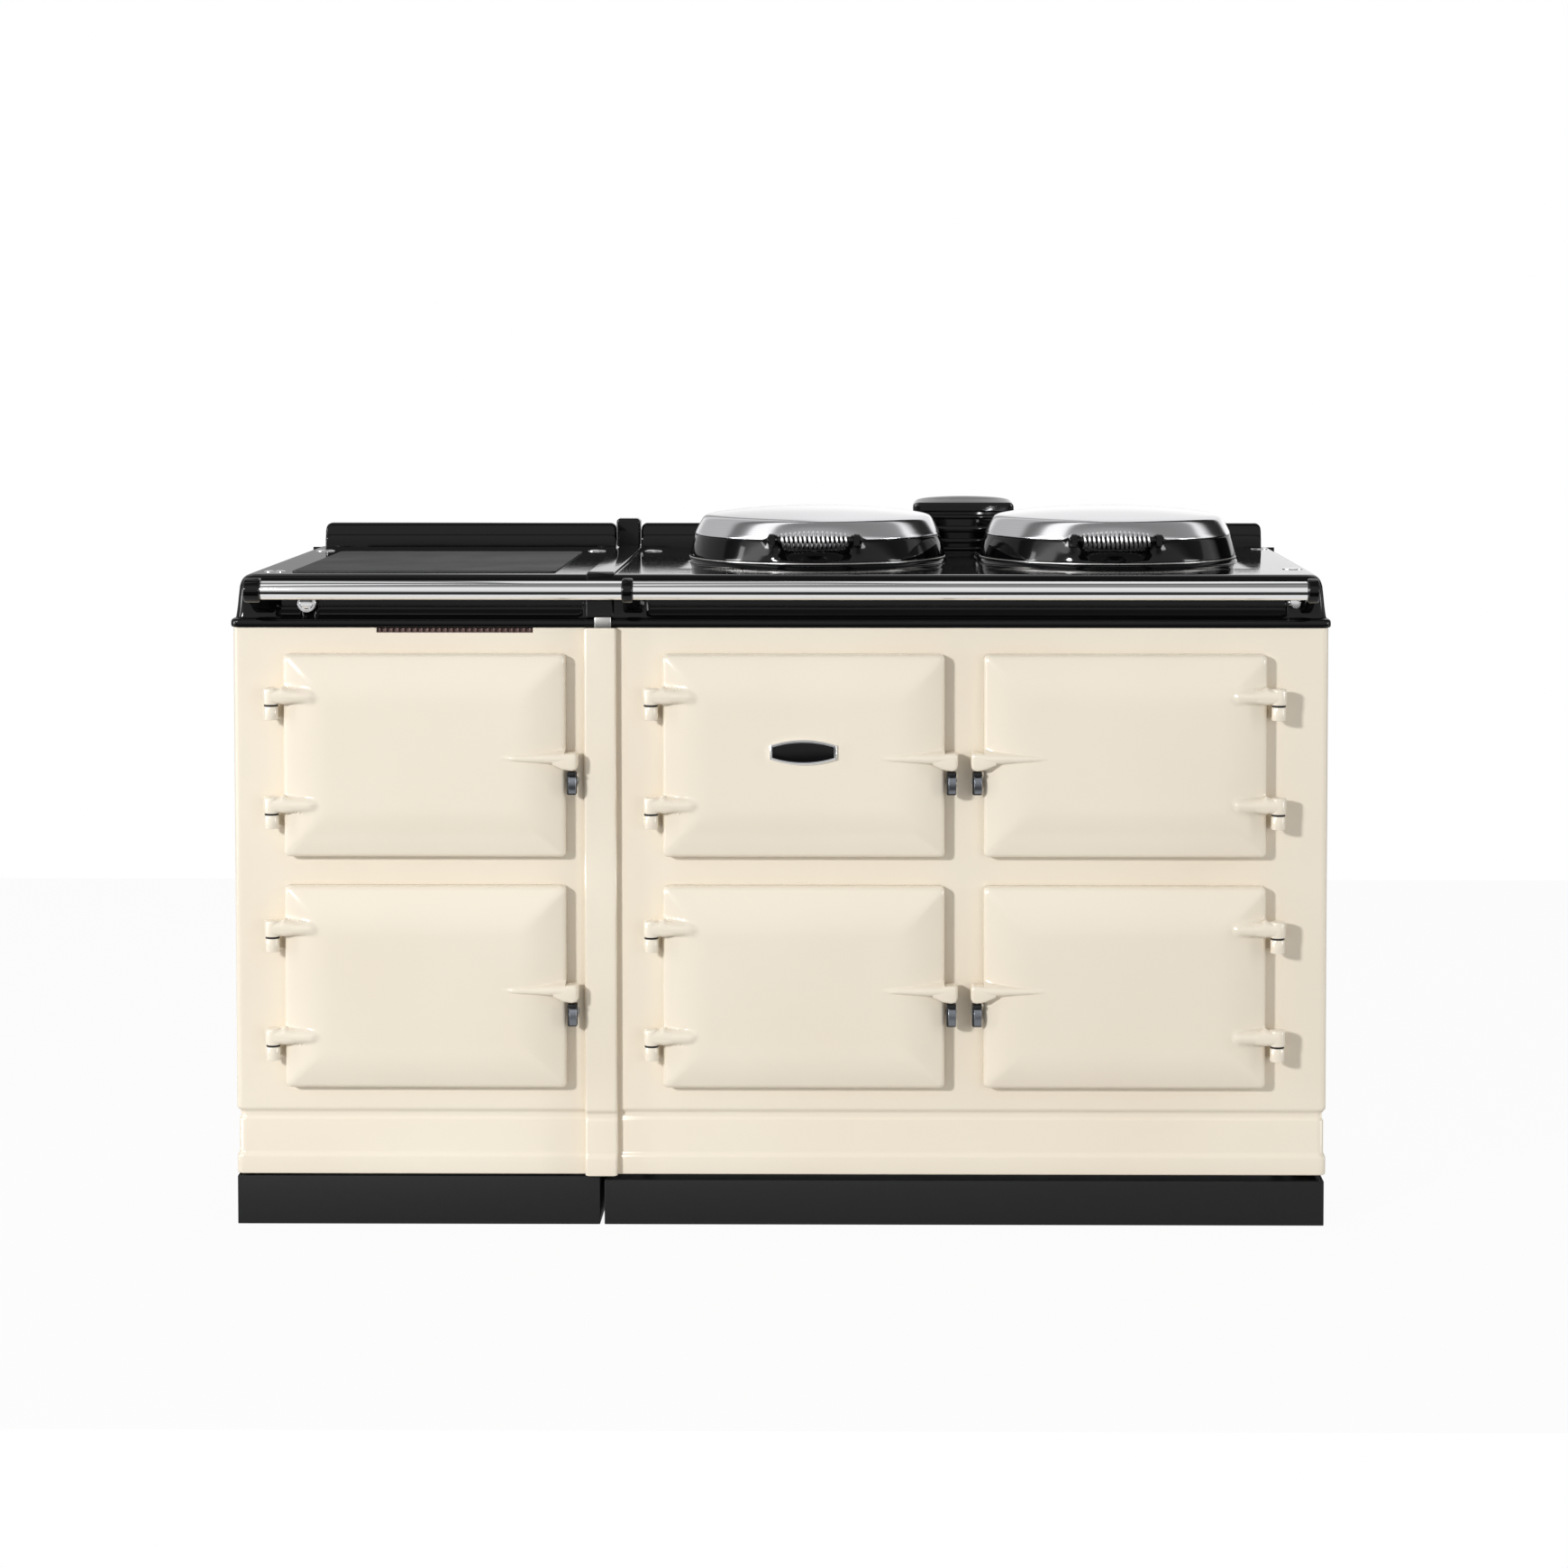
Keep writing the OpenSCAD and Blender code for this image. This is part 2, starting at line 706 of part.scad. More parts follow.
module heating_elements() {
    for (o = ovens) color([0.45, 0.40, 0.35]) block(o[0] - 130, o[0] + 130, front_y + 60, front_y + 440,
        o[1] + mouth_h / 2 + wall_t, o[1] + mouth_h / 2 + wall_t + element_t);
    for (i = [0, 1]) color([0.45, 0.40, 0.35])
        translate([lid_x0 + i * lid_gap, lid_y, hob_z - hotplate_deep - element_t])
        cylinder(r = hotplate_r - 14, h = element_t);
}

jacket_t = 34;

module insulation_jackets() {
    gap = wall_t + element_t + 1;
    for (o = ovens) color([0.80, 0.78, 0.70]) translate([o[0], front_y + plate_t, o[1]]) difference() {
        block(-mouth_w / 2 - gap - jacket_t, mouth_w / 2 + gap + jacket_t, 2, oven_d + wall_t + jacket_t,
            -mouth_h / 2 - gap - jacket_t, mouth_h / 2 + gap + jacket_t);
        block(-mouth_w / 2 - wall_t, mouth_w / 2 + wall_t, 1, oven_d + wall_t,
            -mouth_h / 2 - wall_t, mouth_h / 2 + gap);
    }
}

control_d = 150;

module control_box() {
    color(black) translate([mid_door_x, front_y + plate_t, upper_z]) open_box(mouth_w, mouth_h, control_d, 3);
}

module control_panel() {
    color(black) translate([mid_door_x, front_y + plate_t, upper_z]) union() {
        block(-140, 140, control_d - 22, control_d, -85, 85);
        block(-110, 110, control_d - 25, control_d - 22, -40, 60);
        for (i = [-2 : 2]) translate([i * 44, control_d - 22, -62]) rotate([90, 0, 0]) cylinder(r = 8, h = 3);
    }
}

module cable_entry() {
    y1 = back_y - back_out;
    color(black) difference() {
        union() {
            block(gland_x - 50, gland_x + 50, y1 - back_t - 45, y1 - back_t, gland_z - 40, gland_z + 40);
            translate([gland_x, back_y, gland_z]) rotate([90, 0, 0]) cylinder(r = 20, h = back_out);
            translate([gland_x, y1 + 1, gland_z]) rotate([90, 0, 0]) cylinder(r = 12.5, h = back_t + 2);
        }
        block(gland_x - 47, gland_x + 47, y1 - back_t - 42, y1 - back_t - 3, gland_z - 37, gland_z + 37);
        translate([gland_x, back_y + 1, gland_z]) rotate([90, 0, 0]) cylinder(r = gland_r, h = 20);
    }
}

module air_inlet_trim() {
    slot_step = 7.6;
    color([0.25, 0.18, 0.16]) difference() {
        block(inlet_x - inlet_w / 2 + 9, inlet_x + inlet_w / 2 - 9, front_y + 3, front_y + plate_t,
            plate_top_z - inlet_h, plate_top_z);
        for (i = [-12 : 12]) block(inlet_x + i * slot_step - 2.2, inlet_x + i * slot_step + 2.2,
            front_y + 2, front_y + plate_t + 1, plate_top_z - inlet_h + 1.8, plate_top_z - 1.8);
    }
}

// ---- Lids ----

lug_w = 40;
lug_r = 10;
ear_t = 9;
ear_gap = 1;

module lid_hinge_bracket(x) {
    difference() {
        union() {
            block(x - 38, x + 38, lid_axis_y - 6, lid_axis_y + 22, hob_z, hob_z + 5);
            for (sgn = [-1, 1]) {
                cx = x + sgn * (lug_w / 2 + ear_gap + ear_t / 2);
                block(cx - ear_t / 2, cx + ear_t / 2, lid_axis_y - 6, lid_axis_y + 12, hob_z, lid_axis_z);
                translate([cx - ear_t / 2, lid_axis_y, lid_axis_z]) rotate([0, 90, 0])
                    cylinder(r = lug_r, h = ear_t);
            }
        }
        translate([x - 40, lid_axis_y, lid_axis_z]) rotate([0, 90, 0])
            cylinder(r = lid_pin_r + run_fit, h = 80);
    }
}

module lid_hinge_brackets() {
    for (i = [0, 1]) color(steel) lid_hinge_bracket(lid_x0 + i * lid_gap);
}

// Black casting of a lid, with its hinge lug behind and its two grip arms in front
module lid_base(x) {
    lug_y = lid_axis_y - lid_y;
    color(black) translate([x, lid_y, 0]) difference() {
        union() {
            rotate_extrude($fn = 96) polygon([[0, lid_z + 1], [156, lid_z + 1], [162, lid_z],
                [lid_r - 2, lid_z], [lid_r, lid_z + 3], [lid_r - 1, lid_z + 14], [lid_r - 4, seam_z - 6], [lid_r - 5.5, seam_z], [162, seam_z],
                [156, lid_z + 7], [0, lid_z + 7]]);
            block(-lug_w / 2, lug_w / 2, 172, lug_y, lid_z + 3, lid_axis_z + 10);
            translate([-lug_w / 2, lug_y, lid_axis_z]) rotate([0, 90, 0]) cylinder(r = lug_r, h = lug_w);
            for (sgn = [-1, 1]) {
                x0 = sgn > 0 ? grip_x : -grip_x - grip_w;
                block(x0, x0 + grip_w, grip_y - 8, -160, grip_z - 11, seam_z - 1);
                block(x0, x0 + grip_w, grip_y - 8, -181, seam_z - 1, grip_z + 8);
            }
        }
        translate([0, -lid_r - 42, lid_z - 1]) cylinder(r = 58, h = 24);
        translate([-80, lug_y, lid_axis_z]) rotate([0, 90, 0]) cylinder(r = lid_pin_r + run_fit, h = 160);
        translate([-80, grip_y, grip_z]) rotate([0, 90, 0]) cylinder(r = rod_r + run_fit, h = 160);
    }
}

// Polished dome that covers the casting
module lid_shell(x) {
    dome = [[178.5, 0], [179, 4], [176, 16], [171, 25], [160, 31], [130, 35.5], [80, 38.5], [0, 39.5]];
    inside = [[0, 37], [80, 36], [130, 33], [157.5, 28.5], [168.5, 22.5], [173.5, 15.4], [176.5, 3.4], [176, 0]];
    color(steel) translate([x, lid_y, seam_z]) rotate_extrude($fn = 96) polygon(concat(dome, inside));
}

module lid_rod(x) {
    color(steel) translate([x - grip_x - grip_w, lid_y + grip_y, grip_z]) rotate([0, 90, 0])
        cylinder(r = rod_r, h = 2 * (grip_x + grip_w));
}

// Centre line of the coil: axial ends, then a barrel-shaped helix
coil_n = coil_turns * coil_rings;
function coil_radius(t) = coil_end_r + (coil_mid_r - coil_end_r) * sin(180 * t);
function coil_point(i) = let (t = i / coil_n, a = 360 * coil_turns * t, r = coil_radius(t))
    [coil_half * (2 * t - 1), r * cos(a), r * sin(a)];
coil_path = concat(
    [[-grip_x, coil_end_r, 0], [-grip_x + 2 * wire_r, coil_end_r, 0]],
    [for (i = [1 : coil_n - 1]) coil_point(i)],
    [[grip_x - 2 * wire_r, coil_end_r, 0], [grip_x, coil_end_r, 0]]);

function unit(v) = v / norm(v);
function tangent(p, i) = unit(p[min(i + 1, len(p) - 1)] - p[max(i - 1, 0)]);

// One ring of the tube, square to the path, with its first side facing away from the axis
function tube_ring(p, i) = let (
    c = p[i], t = (i < 1 || i > len(p) - 2) ? [1, 0, 0] : tangent(p, i),
    radial = [0, c[1], c[2]], n = unit(radial - (radial * t) * t), b = cross(t, n))
    [for (a = [0 : 360 / coil_sides : 359]) c + wire_r * (cos(a) * n + sin(a) * b)];

module tube(p) {
    m = len(p);
    s = coil_sides;
    points = [for (i = [0 : m - 1]) each tube_ring(p, i)];
    faces = concat(
        [for (k = [1 : s - 2]) [0, k, k + 1]],
        [for (i = [0 : m - 2], k = [0 : s - 1]) each [
            [i * s + k, (i + 1) * s + k, (i + 1) * s + (k + 1) % s],
            [i * s + k, (i + 1) * s + (k + 1) % s, i * s + (k + 1) % s]]],
        [for (k = [1 : s - 2]) [(m - 1) * s, (m - 1) * s + k + 1, (m - 1) * s + k]]);
    polyhedron(points = points, faces = faces, convexity = 10);
}

// Least distance between points of the path that lie more than half a turn apart, less the wire
coil_last = len(coil_path) - 1;
coil_gap = min([for (i = [0 : coil_last], j = [i + 5 : 1 : min(i + 2 * coil_rings, coil_last)])
    norm(coil_path[i] - coil_path[j])]) - 2 * wire_r;
echo(coil_gap = coil_gap);

module lid_coil(x) {
    color(steel) translate([x, lid_y + grip_y, grip_z]) tube(coil_path);
}

module boiling_lid_base() lid_base(lid_x0);
module boiling_lid_shell() lid_shell(lid_x0);
module boiling_lid_rod() lid_rod(lid_x0);
module boiling_lid_coil() lid_coil(lid_x0);
module simmering_lid_base() lid_base(lid_x0 + lid_gap);
module simmering_lid_shell() lid_shell(lid_x0 + lid_gap);
module simmering_lid_rod() lid_rod(lid_x0 + lid_gap);
module simmering_lid_coil() lid_coil(lid_x0 + lid_gap);

// ---- Controls on the fascia ----

button_travel = 3;

module push_button() {
    color(steel) translate([button_x, front_y + 14, button_z]) rotate([90, 0, 0]) union() {
        translate([0, 0, button_travel + 1]) cylinder(r = button_r, h = 12);
        translate([0, 0, -12]) cylinder(r = button_stem_r, h = button_travel + 14);
    }
}

module control_knob() {
    color(steel) translate([knob_x, front_y + 0.5, knob_z]) rotate([90, 0, 0]) difference() {
        union() {
            cylinder(r = knob_r, h = 16);
            translate([0, 0, -20]) cylinder(r = spindle_r, h = 21);
        }
        for (a = [0 : 30 : 330]) rotate([0, 0, a])
            translate([knob_r + 1, 0, 3]) cylinder(r = 2, h = 20, $fn = 24);
    }
}

plinths();
levelling_feet();
base_frames();
front_plate_left();
front_plate_main();
cover_strip();
strip_clip();
side_panels();
back_panels();
top_plate_left();
top_plate_main();
joint_strip();
upstands();
vent_body();
vent_cap();
handrails();
rail_brackets();
warming_plate();
plate_caps();
hinge_posts();
hinge_pins();
door_catches();
door_seals();
roasting_oven();
baking_oven();
simmering_oven();
upper_warming_oven();
lower_warming_oven();
control_box();
grid_shelves();
hotplates();
heating_elements();
insulation_jackets();
control_panel();
lid_hinge_brackets();
cable_entry();
air_inlet_trim();
roasting_door();
baking_door();
simmering_door();
control_door();
upper_warming_door();
lower_warming_door();
roasting_door_panel();
baking_door_panel();
simmering_door_panel();
control_door_panel();
upper_warming_door_panel();
lower_warming_door_panel();
badge();
boiling_lid_base();
boiling_lid_shell();
boiling_lid_rod();
boiling_lid_coil();
simmering_lid_base();
simmering_lid_shell();
simmering_lid_rod();
simmering_lid_coil();
push_button();
control_knob();
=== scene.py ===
import json
import math
import bpy
import numpy as np
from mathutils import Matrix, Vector

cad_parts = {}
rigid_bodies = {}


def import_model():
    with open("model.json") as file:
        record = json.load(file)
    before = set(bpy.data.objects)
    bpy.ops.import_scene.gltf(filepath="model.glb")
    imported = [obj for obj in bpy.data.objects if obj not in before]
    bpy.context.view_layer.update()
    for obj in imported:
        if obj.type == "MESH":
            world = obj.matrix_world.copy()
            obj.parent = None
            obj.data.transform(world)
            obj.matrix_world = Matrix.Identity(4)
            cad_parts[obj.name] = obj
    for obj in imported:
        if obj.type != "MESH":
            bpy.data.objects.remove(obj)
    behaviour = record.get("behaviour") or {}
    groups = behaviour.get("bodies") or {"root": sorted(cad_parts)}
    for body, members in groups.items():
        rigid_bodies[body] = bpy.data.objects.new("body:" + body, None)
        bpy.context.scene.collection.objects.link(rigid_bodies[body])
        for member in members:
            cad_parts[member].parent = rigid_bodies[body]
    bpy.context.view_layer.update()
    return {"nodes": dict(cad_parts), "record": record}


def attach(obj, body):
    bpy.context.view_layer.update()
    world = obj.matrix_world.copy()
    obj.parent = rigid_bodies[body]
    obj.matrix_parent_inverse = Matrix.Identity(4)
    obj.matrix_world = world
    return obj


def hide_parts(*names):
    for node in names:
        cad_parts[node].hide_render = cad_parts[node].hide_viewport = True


for leftover in list(bpy.data.objects):
    bpy.data.objects.remove(leftover, do_unlink=True)
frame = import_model()
print("frame loaded with", len(frame["nodes"]), "solids")

# Planes of the cooker in millimetres: front plates face -Y, the floor is z = 0
frontY = -268.5
backY = 345.0
halfW = 738.0
mainX0 = -242.0
leftX1 = -244.0
splitX = -243.0
footZ = 69.0
plateTopZ = 812.0
hobZ = 882.5
railY = frontY - 60
railZ = 866.5
lidX = [43.5, 460.5]
lidY = frontY + 320
lidHingeY = lidY + 195
lidHingeZ = 900.0
doorSpots = {  # centre x, centre z, and which side the latch is on
    "upper_warming": (-477.5, 641, 1),
    "lower_warming": (-477.5, 328, 1),
    "control": (32, 641, 1),
    "baking": (32, 328, 1),
    "roasting": (463.5, 641, -1),
    "simmering": (463.5, 328, -1),
}
body = "cooker_body"

# Directions in the world of a part's own a, b and outward c
facing = {
    "up": [[1, 0, 0], [0, 1, 0], [0, 0, 1]],
    "down": [[1, 0, 0], [0, -1, 0], [0, 0, -1]],
    "front": [[1, 0, 0], [0, 0, 1], [0, -1, 0]],
    "back": [[-1, 0, 0], [0, 0, 1], [0, 1, 0]],
    "right": [[0, 1, 0], [0, 0, 1], [1, 0, 0]],
    "left": [[0, -1, 0], [0, 0, 1], [-1, 0, 0]],
    "standing": [[1, 0, 0], [0, 0, -1], [0, 1, 0]],
}
sideWay = {1: "right", -1: "left"}


def gridPart(points, wrap=False, capped=False):
    # quads between neighbouring rows and columns of a grid of points, closed round when wrap is set
    rows, cols = points.shape[:2]
    index = np.arange(rows * cols).reshape(rows, cols)
    thisCol = index if wrap else index[:, :-1]
    nextCol = np.roll(index, -1, axis=1) if wrap else index[:, 1:]
    faces = np.stack([thisCol[:-1], nextCol[:-1], nextCol[1:], thisCol[1:]], -1).reshape(-1, 4).tolist()
    if capped:
        faces += [index[0, ::-1].tolist(), index[-1].tolist()]
    return points.reshape(-1, 3), faces


def loftPart(rings):
    # rings of equal length joined in turn, with a cap over the first and the last
    return gridPart(np.array(rings), True, True)


def torusPart(points):
    # quads over a grid that closes on itself in both directions
    rows, cols = points.shape[:2]
    index = np.arange(rows * cols).reshape(rows, cols)
    nextRow = np.roll(index, -1, 0)
    quads = np.stack([index, np.roll(index, -1, 1), np.roll(nextRow, -1, 1), nextRow], -1)
    return points.reshape(-1, 3), quads.reshape(-1, 4).tolist()


def quarterTurn(steps):
    # equal steps from 0 to 90 degrees, in radians
    return np.radians(np.linspace(0, 90, steps + 1))


def fullTurn(steps):
    # equal steps round a circle, in radians, without the last
    return np.linspace(0, 2 * math.pi, steps, endpoint=False)


def unit(vectors):
    # each row divided by its own length
    return vectors / np.linalg.norm(vectors, axis=1)[:, None]


def atLevel(ring, level):
    # the points of a flat ring, all lifted to one level
    return np.column_stack([ring, np.full(len(ring), float(level))])


def moved(part, x, y, z):
    # every point shifted by the same amount
    points, faces = part
    return points + [x, y, z], faces


def flipped(part):
    # every face turned round
    points, faces = part
    return points, [face[::-1] for face in faces]


def placed(part, way="up", at=(0, 0, 0)):
    # each point becomes at + a * first + b * second + c * third direction
    points, faces = part
    return points @ np.array(facing[way], float) + np.array(at, float), faces


def mirroredX(part):
    # x becomes -x, with every face turned round so that it still points outwards
    points, faces = flipped(part)
    return points * [-1, 1, 1], faces


def roundedRing(halfA, halfB, radius, cornerSteps=6, sideA=1, planB=(0, 1)):
    # four quarter circles of one radius; the sides along a are cut evenly, those along b at planB's shares
    radius = min(radius, halfA - 1e-3, halfB - 1e-3)
    turn = quarterTurn(cornerSteps)
    pieces = []
    for quarter, (sa, sb) in enumerate([(1, 1), (-1, 1), (-1, -1), (1, -1)]):
        angle = turn + quarter * math.pi / 2
        pieces.append(np.stack([sa * (halfA - radius) + radius * np.cos(angle),
                                sb * (halfB - radius) + radius * np.sin(angle)], -1))
    plan = np.asarray(planB, float)
    shares = [np.linspace(0, 1, sideA + 1), 1 - plan[::-1], np.linspace(0, 1, sideA + 1), plan]
    ring = []
    for quarter, share in enumerate(shares):
        start, end = pieces[quarter][-1], pieces[(quarter + 1) % 4][0]
        ring += [pieces[quarter], start + (end - start) * share[1:-1, None]]
    return np.concatenate(ring)


def slab(halfA, halfB, radius, profile, cornerSteps=6):
    # rounded rectangles drawn in by each inset of the profile and set at its level, closed at both ends
    rings = []
    for inset, level in profile:
        ring = roundedRing(halfA - inset, halfB - inset, max(radius - inset, 0.3), cornerSteps)
        rings.append(atLevel(ring, level))
    return loftPart(rings)


def roundedEdge(low, high, roll, steps=4):
    # profile of (inset, level): a quarter circle of the roll radius at the low and the high end
    turn = quarterTurn(steps)
    lower = [(roll * (1 - math.sin(t)), low + roll * (1 - math.cos(t))) for t in turn]
    upper = [(roll * (1 - math.cos(t)), high - roll * (1 - math.sin(t))) for t in turn]
    return lower + upper


def lathe(profile, steps=64):
    # circles of each radius at each level, with a flat cap at both ends
    angle = fullTurn(steps)
    radius, level = np.array(profile, float).T[..., None]
    return loftPart(np.stack([radius * np.cos(angle), radius * np.sin(angle), level + 0 * angle], -1))


def tubePart(path, radius, sides, ups, closed=False):
    # circles square to the path: centre + radius * (cos * side + sin * over), with side = tangent x up
    tangent = np.roll(path, -1, 0) - np.roll(path, 1, 0) if closed else np.gradient(path, axis=0)
    tangent = unit(tangent)
    side = unit(np.cross(tangent, ups))
    over = np.cross(side, tangent)
    angle = fullTurn(sides)[:, None]
    radius = np.broadcast_to(np.asarray(radius, float), (len(path), sides))[..., None]
    points = path[:, None] + radius * (np.cos(angle) * side[:, None] + np.sin(angle) * over[:, None])
    return torusPart(points[:, ::-1]) if closed else loftPart(points[:, ::-1])


def flatLevel(level):
    # a level for panelPart that is the same everywhere
    return lambda a, b: 0 * a + level


def panelPart(a, b, outer, inner, keep=None):
    # cells of the grid a x b that keep allows: an outer and an inner skin, joined by walls round every border
    gridA, gridB = np.meshgrid(a, b, indexing="ij")
    skins = [np.stack([gridA, gridB, level(gridA, gridB) + 0 * gridA], -1).reshape(-1, 3)
             for level in (outer, inner)]
    index = np.arange(gridA.size).reshape(gridA.shape)
    corner = [index[:-1, :-1], index[1:, :-1], index[1:, 1:], index[:-1, 1:]]
    midA = (gridA[:-1, :-1] + gridA[1:, 1:]) / 2
    midB = (gridB[:-1, :-1] + gridB[1:, 1:]) / 2
    kept = np.ones(midA.shape, bool) if keep is None else keep(midA, midB)
    n = gridA.size
    padded = np.pad(kept, 1)
    near = [padded[1:-1, :-2], padded[2:, 1:-1], padded[1:-1, 2:], padded[:-2, 1:-1]]
    quads = [np.stack(corner, -1)[kept], np.stack(corner[::-1], -1)[kept] + n]
    for side in range(4):
        edge = kept & ~near[side]
        start, end = corner[side][edge], corner[(side + 1) % 4][edge]
        quads.append(np.stack([end, start, start + n, end + n], -1))
    return np.concatenate(skins), np.concatenate(quads).tolist()


def makePiece(name, rideOn, parts, stands=(), sharp=34):
    # parts are (points and faces, material): joined, scaled to metres, unused points dropped, shaded smooth
    materials, points, faces, places = [], [], [], []
    total = 0
    for (partPoints, partFaces), material in parts:
        if material not in materials:
            materials.append(material)
        points.append(partPoints)
        faces += [[corner + total for corner in face] for face in partFaces]
        places += [materials.index(material)] * len(partFaces)
        total += len(partPoints)
    points = np.concatenate(points) * 0.001
    flat = np.concatenate([np.array(face) for face in faces])
    used, fresh = np.unique(flat, return_inverse=True)
    lengths = np.array([len(face) for face in faces])
    faces = [chunk.tolist() for chunk in np.split(fresh.ravel(), np.cumsum(lengths)[:-1])]
    mesh = bpy.data.meshes.new(name)
    mesh.from_pydata(points[used].tolist(), [], faces)
    mesh.polygons.foreach_set("material_index", places)
    mesh.update()
    for material in materials:
        mesh.materials.append(material)
    mesh.shade_smooth()
    mesh.set_sharp_from_angle(angle=math.radians(sharp))
    piece = bpy.data.objects.new(name, mesh)
    bpy.context.scene.collection.objects.link(piece)
    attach(piece, rideOn)
    if stands:
        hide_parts(*stands)
    return piece


class Wire:
    # a socket whose arithmetic adds Math nodes to its own tree
    def __init__(self, finish, socket):
        self.finish = finish
        self.socket = socket

    def math(self, operation, *values):
        return self.finish.node("ShaderNodeMath", {"operation": operation}, dict(enumerate(values)))

    def __add__(self, other):
        return self.math("ADD", self, other)

    def __radd__(self, other):
        return self.math("ADD", other, self)

    def __sub__(self, other):
        return self.math("SUBTRACT", self, other)

    def __rsub__(self, other):
        return self.math("SUBTRACT", other, self)

    def __mul__(self, other):
        return self.math("MULTIPLY", self, other)

    def __rmul__(self, other):
        return self.math("MULTIPLY", other, self)

    def __truediv__(self, other):
        return self.math("DIVIDE", self, other)

    def __gt__(self, other):
        return self.math("GREATER_THAN", self, other)

    def highest(self, other):
        return self.math("MAXIMUM", self, other)


class Finish:
    # a node tree of a material or the world, with one method that adds any node
    def __init__(self, owner):
        owner.use_nodes = True
        self.tree = owner.node_tree
        self.tree.nodes.clear()

    def node(self, kind, settings=None, sockets=None, out=0):
        made = self.tree.nodes.new(kind)
        for key, value in (settings or {}).items():
            if key == "stops":
                ramp = made.color_ramp
                while len(ramp.elements) < len(value):
                    ramp.elements.new(0.5)
                for element, (position, colour) in zip(ramp.elements, value):
                    element.position = position
                    element.color = colour if len(np.shape(colour)) else (colour, colour, colour, 1)
            else:
                setattr(made, key, value)
        for key, value in (sockets or {}).items():
            if isinstance(value, Wire):
                self.tree.links.new(value.socket, made.inputs[key])
            else:
                made.inputs[key].default_value = value
        return Wire(self, made.outputs[out]) if len(made.outputs) else None

    def outputs(self, kind, sockets, *names):
        # several outputs of one node
        made = self.node(kind, None, sockets).socket.node
        return [Wire(self, made.outputs[name]) for name in names]

    def angleShare(self, up, along):
        # the angle of a direction in one plane, as a share of a full turn from 0 to 1
        return self.node("ShaderNodeMath", {"operation": "ARCTAN2"}, {0: up, 1: along}) / (2 * math.pi) + 0.5

    def place(self, scale=(1, 1, 1), location=(0, 0, 0), rotation=(0, 0, 0)):
        here = self.node("ShaderNodeTexCoord", out="Object")
        return self.node("ShaderNodeMapping", None, {"Vector": here, "Scale": scale, "Location": location,
                                                     "Rotation": rotation})

    def noise(self, scale, detail=3.0, roughness=0.5, vector=None):
        return self.node("ShaderNodeTexNoise", {"noise_dimensions": "3D"}, {
            "Vector": vector or self.place(), "Scale": scale, "Detail": detail, "Roughness": roughness})

    def ramp(self, value, stops):
        return self.node("ShaderNodeValToRGB", {"stops": stops}, {"Fac": value})

    def mixColour(self, share, first, second, way="MIX"):
        return self.node("ShaderNodeMix", {"data_type": "RGBA", "blend_type": way},
                         {0: share, 6: first, 7: second}, out=2)

    def bump(self, height, strength, distance, after=None):
        sockets = {"Height": height, "Strength": strength, "Distance": distance}
        if after is not None:
            sockets["Normal"] = after
        return self.node("ShaderNodeBump", None, sockets)

    def surface(self, sockets):
        shader = self.node("ShaderNodeBsdfPrincipled", None, sockets)
        self.node("ShaderNodeOutputMaterial", None, {"Surface": shader})


def darker(colour, share):
    # an sRGB colour out of 255 with each value cut down to a share, as a linear colour
    return linear(*[int(value * share) for value in colour])


def linear(red, green, blue):
    # the linear colour of an sRGB colour given out of 255
    def one(value):
        value /= 255
        return value / 12.92 if value <= 0.04045 else ((value + 0.055) / 1.055) ** 2.4
    return (one(red), one(green), one(blue), 1.0)


def makeFinish(name):
    # a new material and its node tree
    material = bpy.data.materials.new(name)
    return material, Finish(material)


creamLook = {"colour": (242, 233, 216), "shade": (238, 227, 209), "speck": (214, 199, 172), "ripple": 0.08,
             "rough": 0.12}


def creamEnamelFinish():
    # fired cream enamel: a slow drift of tone, fine pits, and the gentle ripple of the sprayed coat
    material, f = makeFinish("creamEnamel")
    look = creamLook
    drift = f.noise(3.0, 2.0)
    speck = f.noise(900.0, 2.0)
    tone = f.ramp(drift, [(0.3, linear(*look["colour"])), (0.75, linear(*look["shade"]))])
    colour = f.mixColour((speck > 0.70) * 0.10, tone, linear(*look["speck"]))
    peel = f.noise(420.0, 2.0)
    normal = f.bump(peel, 0.05, 0.0004, f.bump(f.noise(38.0, 2.0, 0.45), look["ripple"], 0.0016))
    f.surface({"Base Color": colour, "Roughness": look["rough"] + drift * 0.12, "Normal": normal,
               "Coat Weight": 0.25, "Coat Roughness": 0.14, "IOR": 1.5})
    return material


def blackEnamelFinish(name="blackEnamel", colour=(6, 6, 7), rough=0.04, ripple=0.05):
    # glassy black enamel: near-black with faint grey flecks, a slow ripple and tiny pits
    material, f = makeFinish(name)
    fleck = f.noise(1400.0, 1.0)
    cloud = f.noise(9.0, 3.0)
    tone = f.mixColour(cloud * 0.5, linear(*colour), linear(*[value + 5 for value in colour]))
    flecked = f.mixColour((fleck > 0.72) * 0.2, tone, linear(60, 60, 63))
    normal = f.bump(fleck, 0.03, 0.0003, f.bump(f.noise(30.0, 2.0, 0.4), ripple, 0.0012))
    f.surface({"Base Color": flecked, "Roughness": rough + cloud * 0.04, "Normal": normal, "IOR": 1.34})
    return material


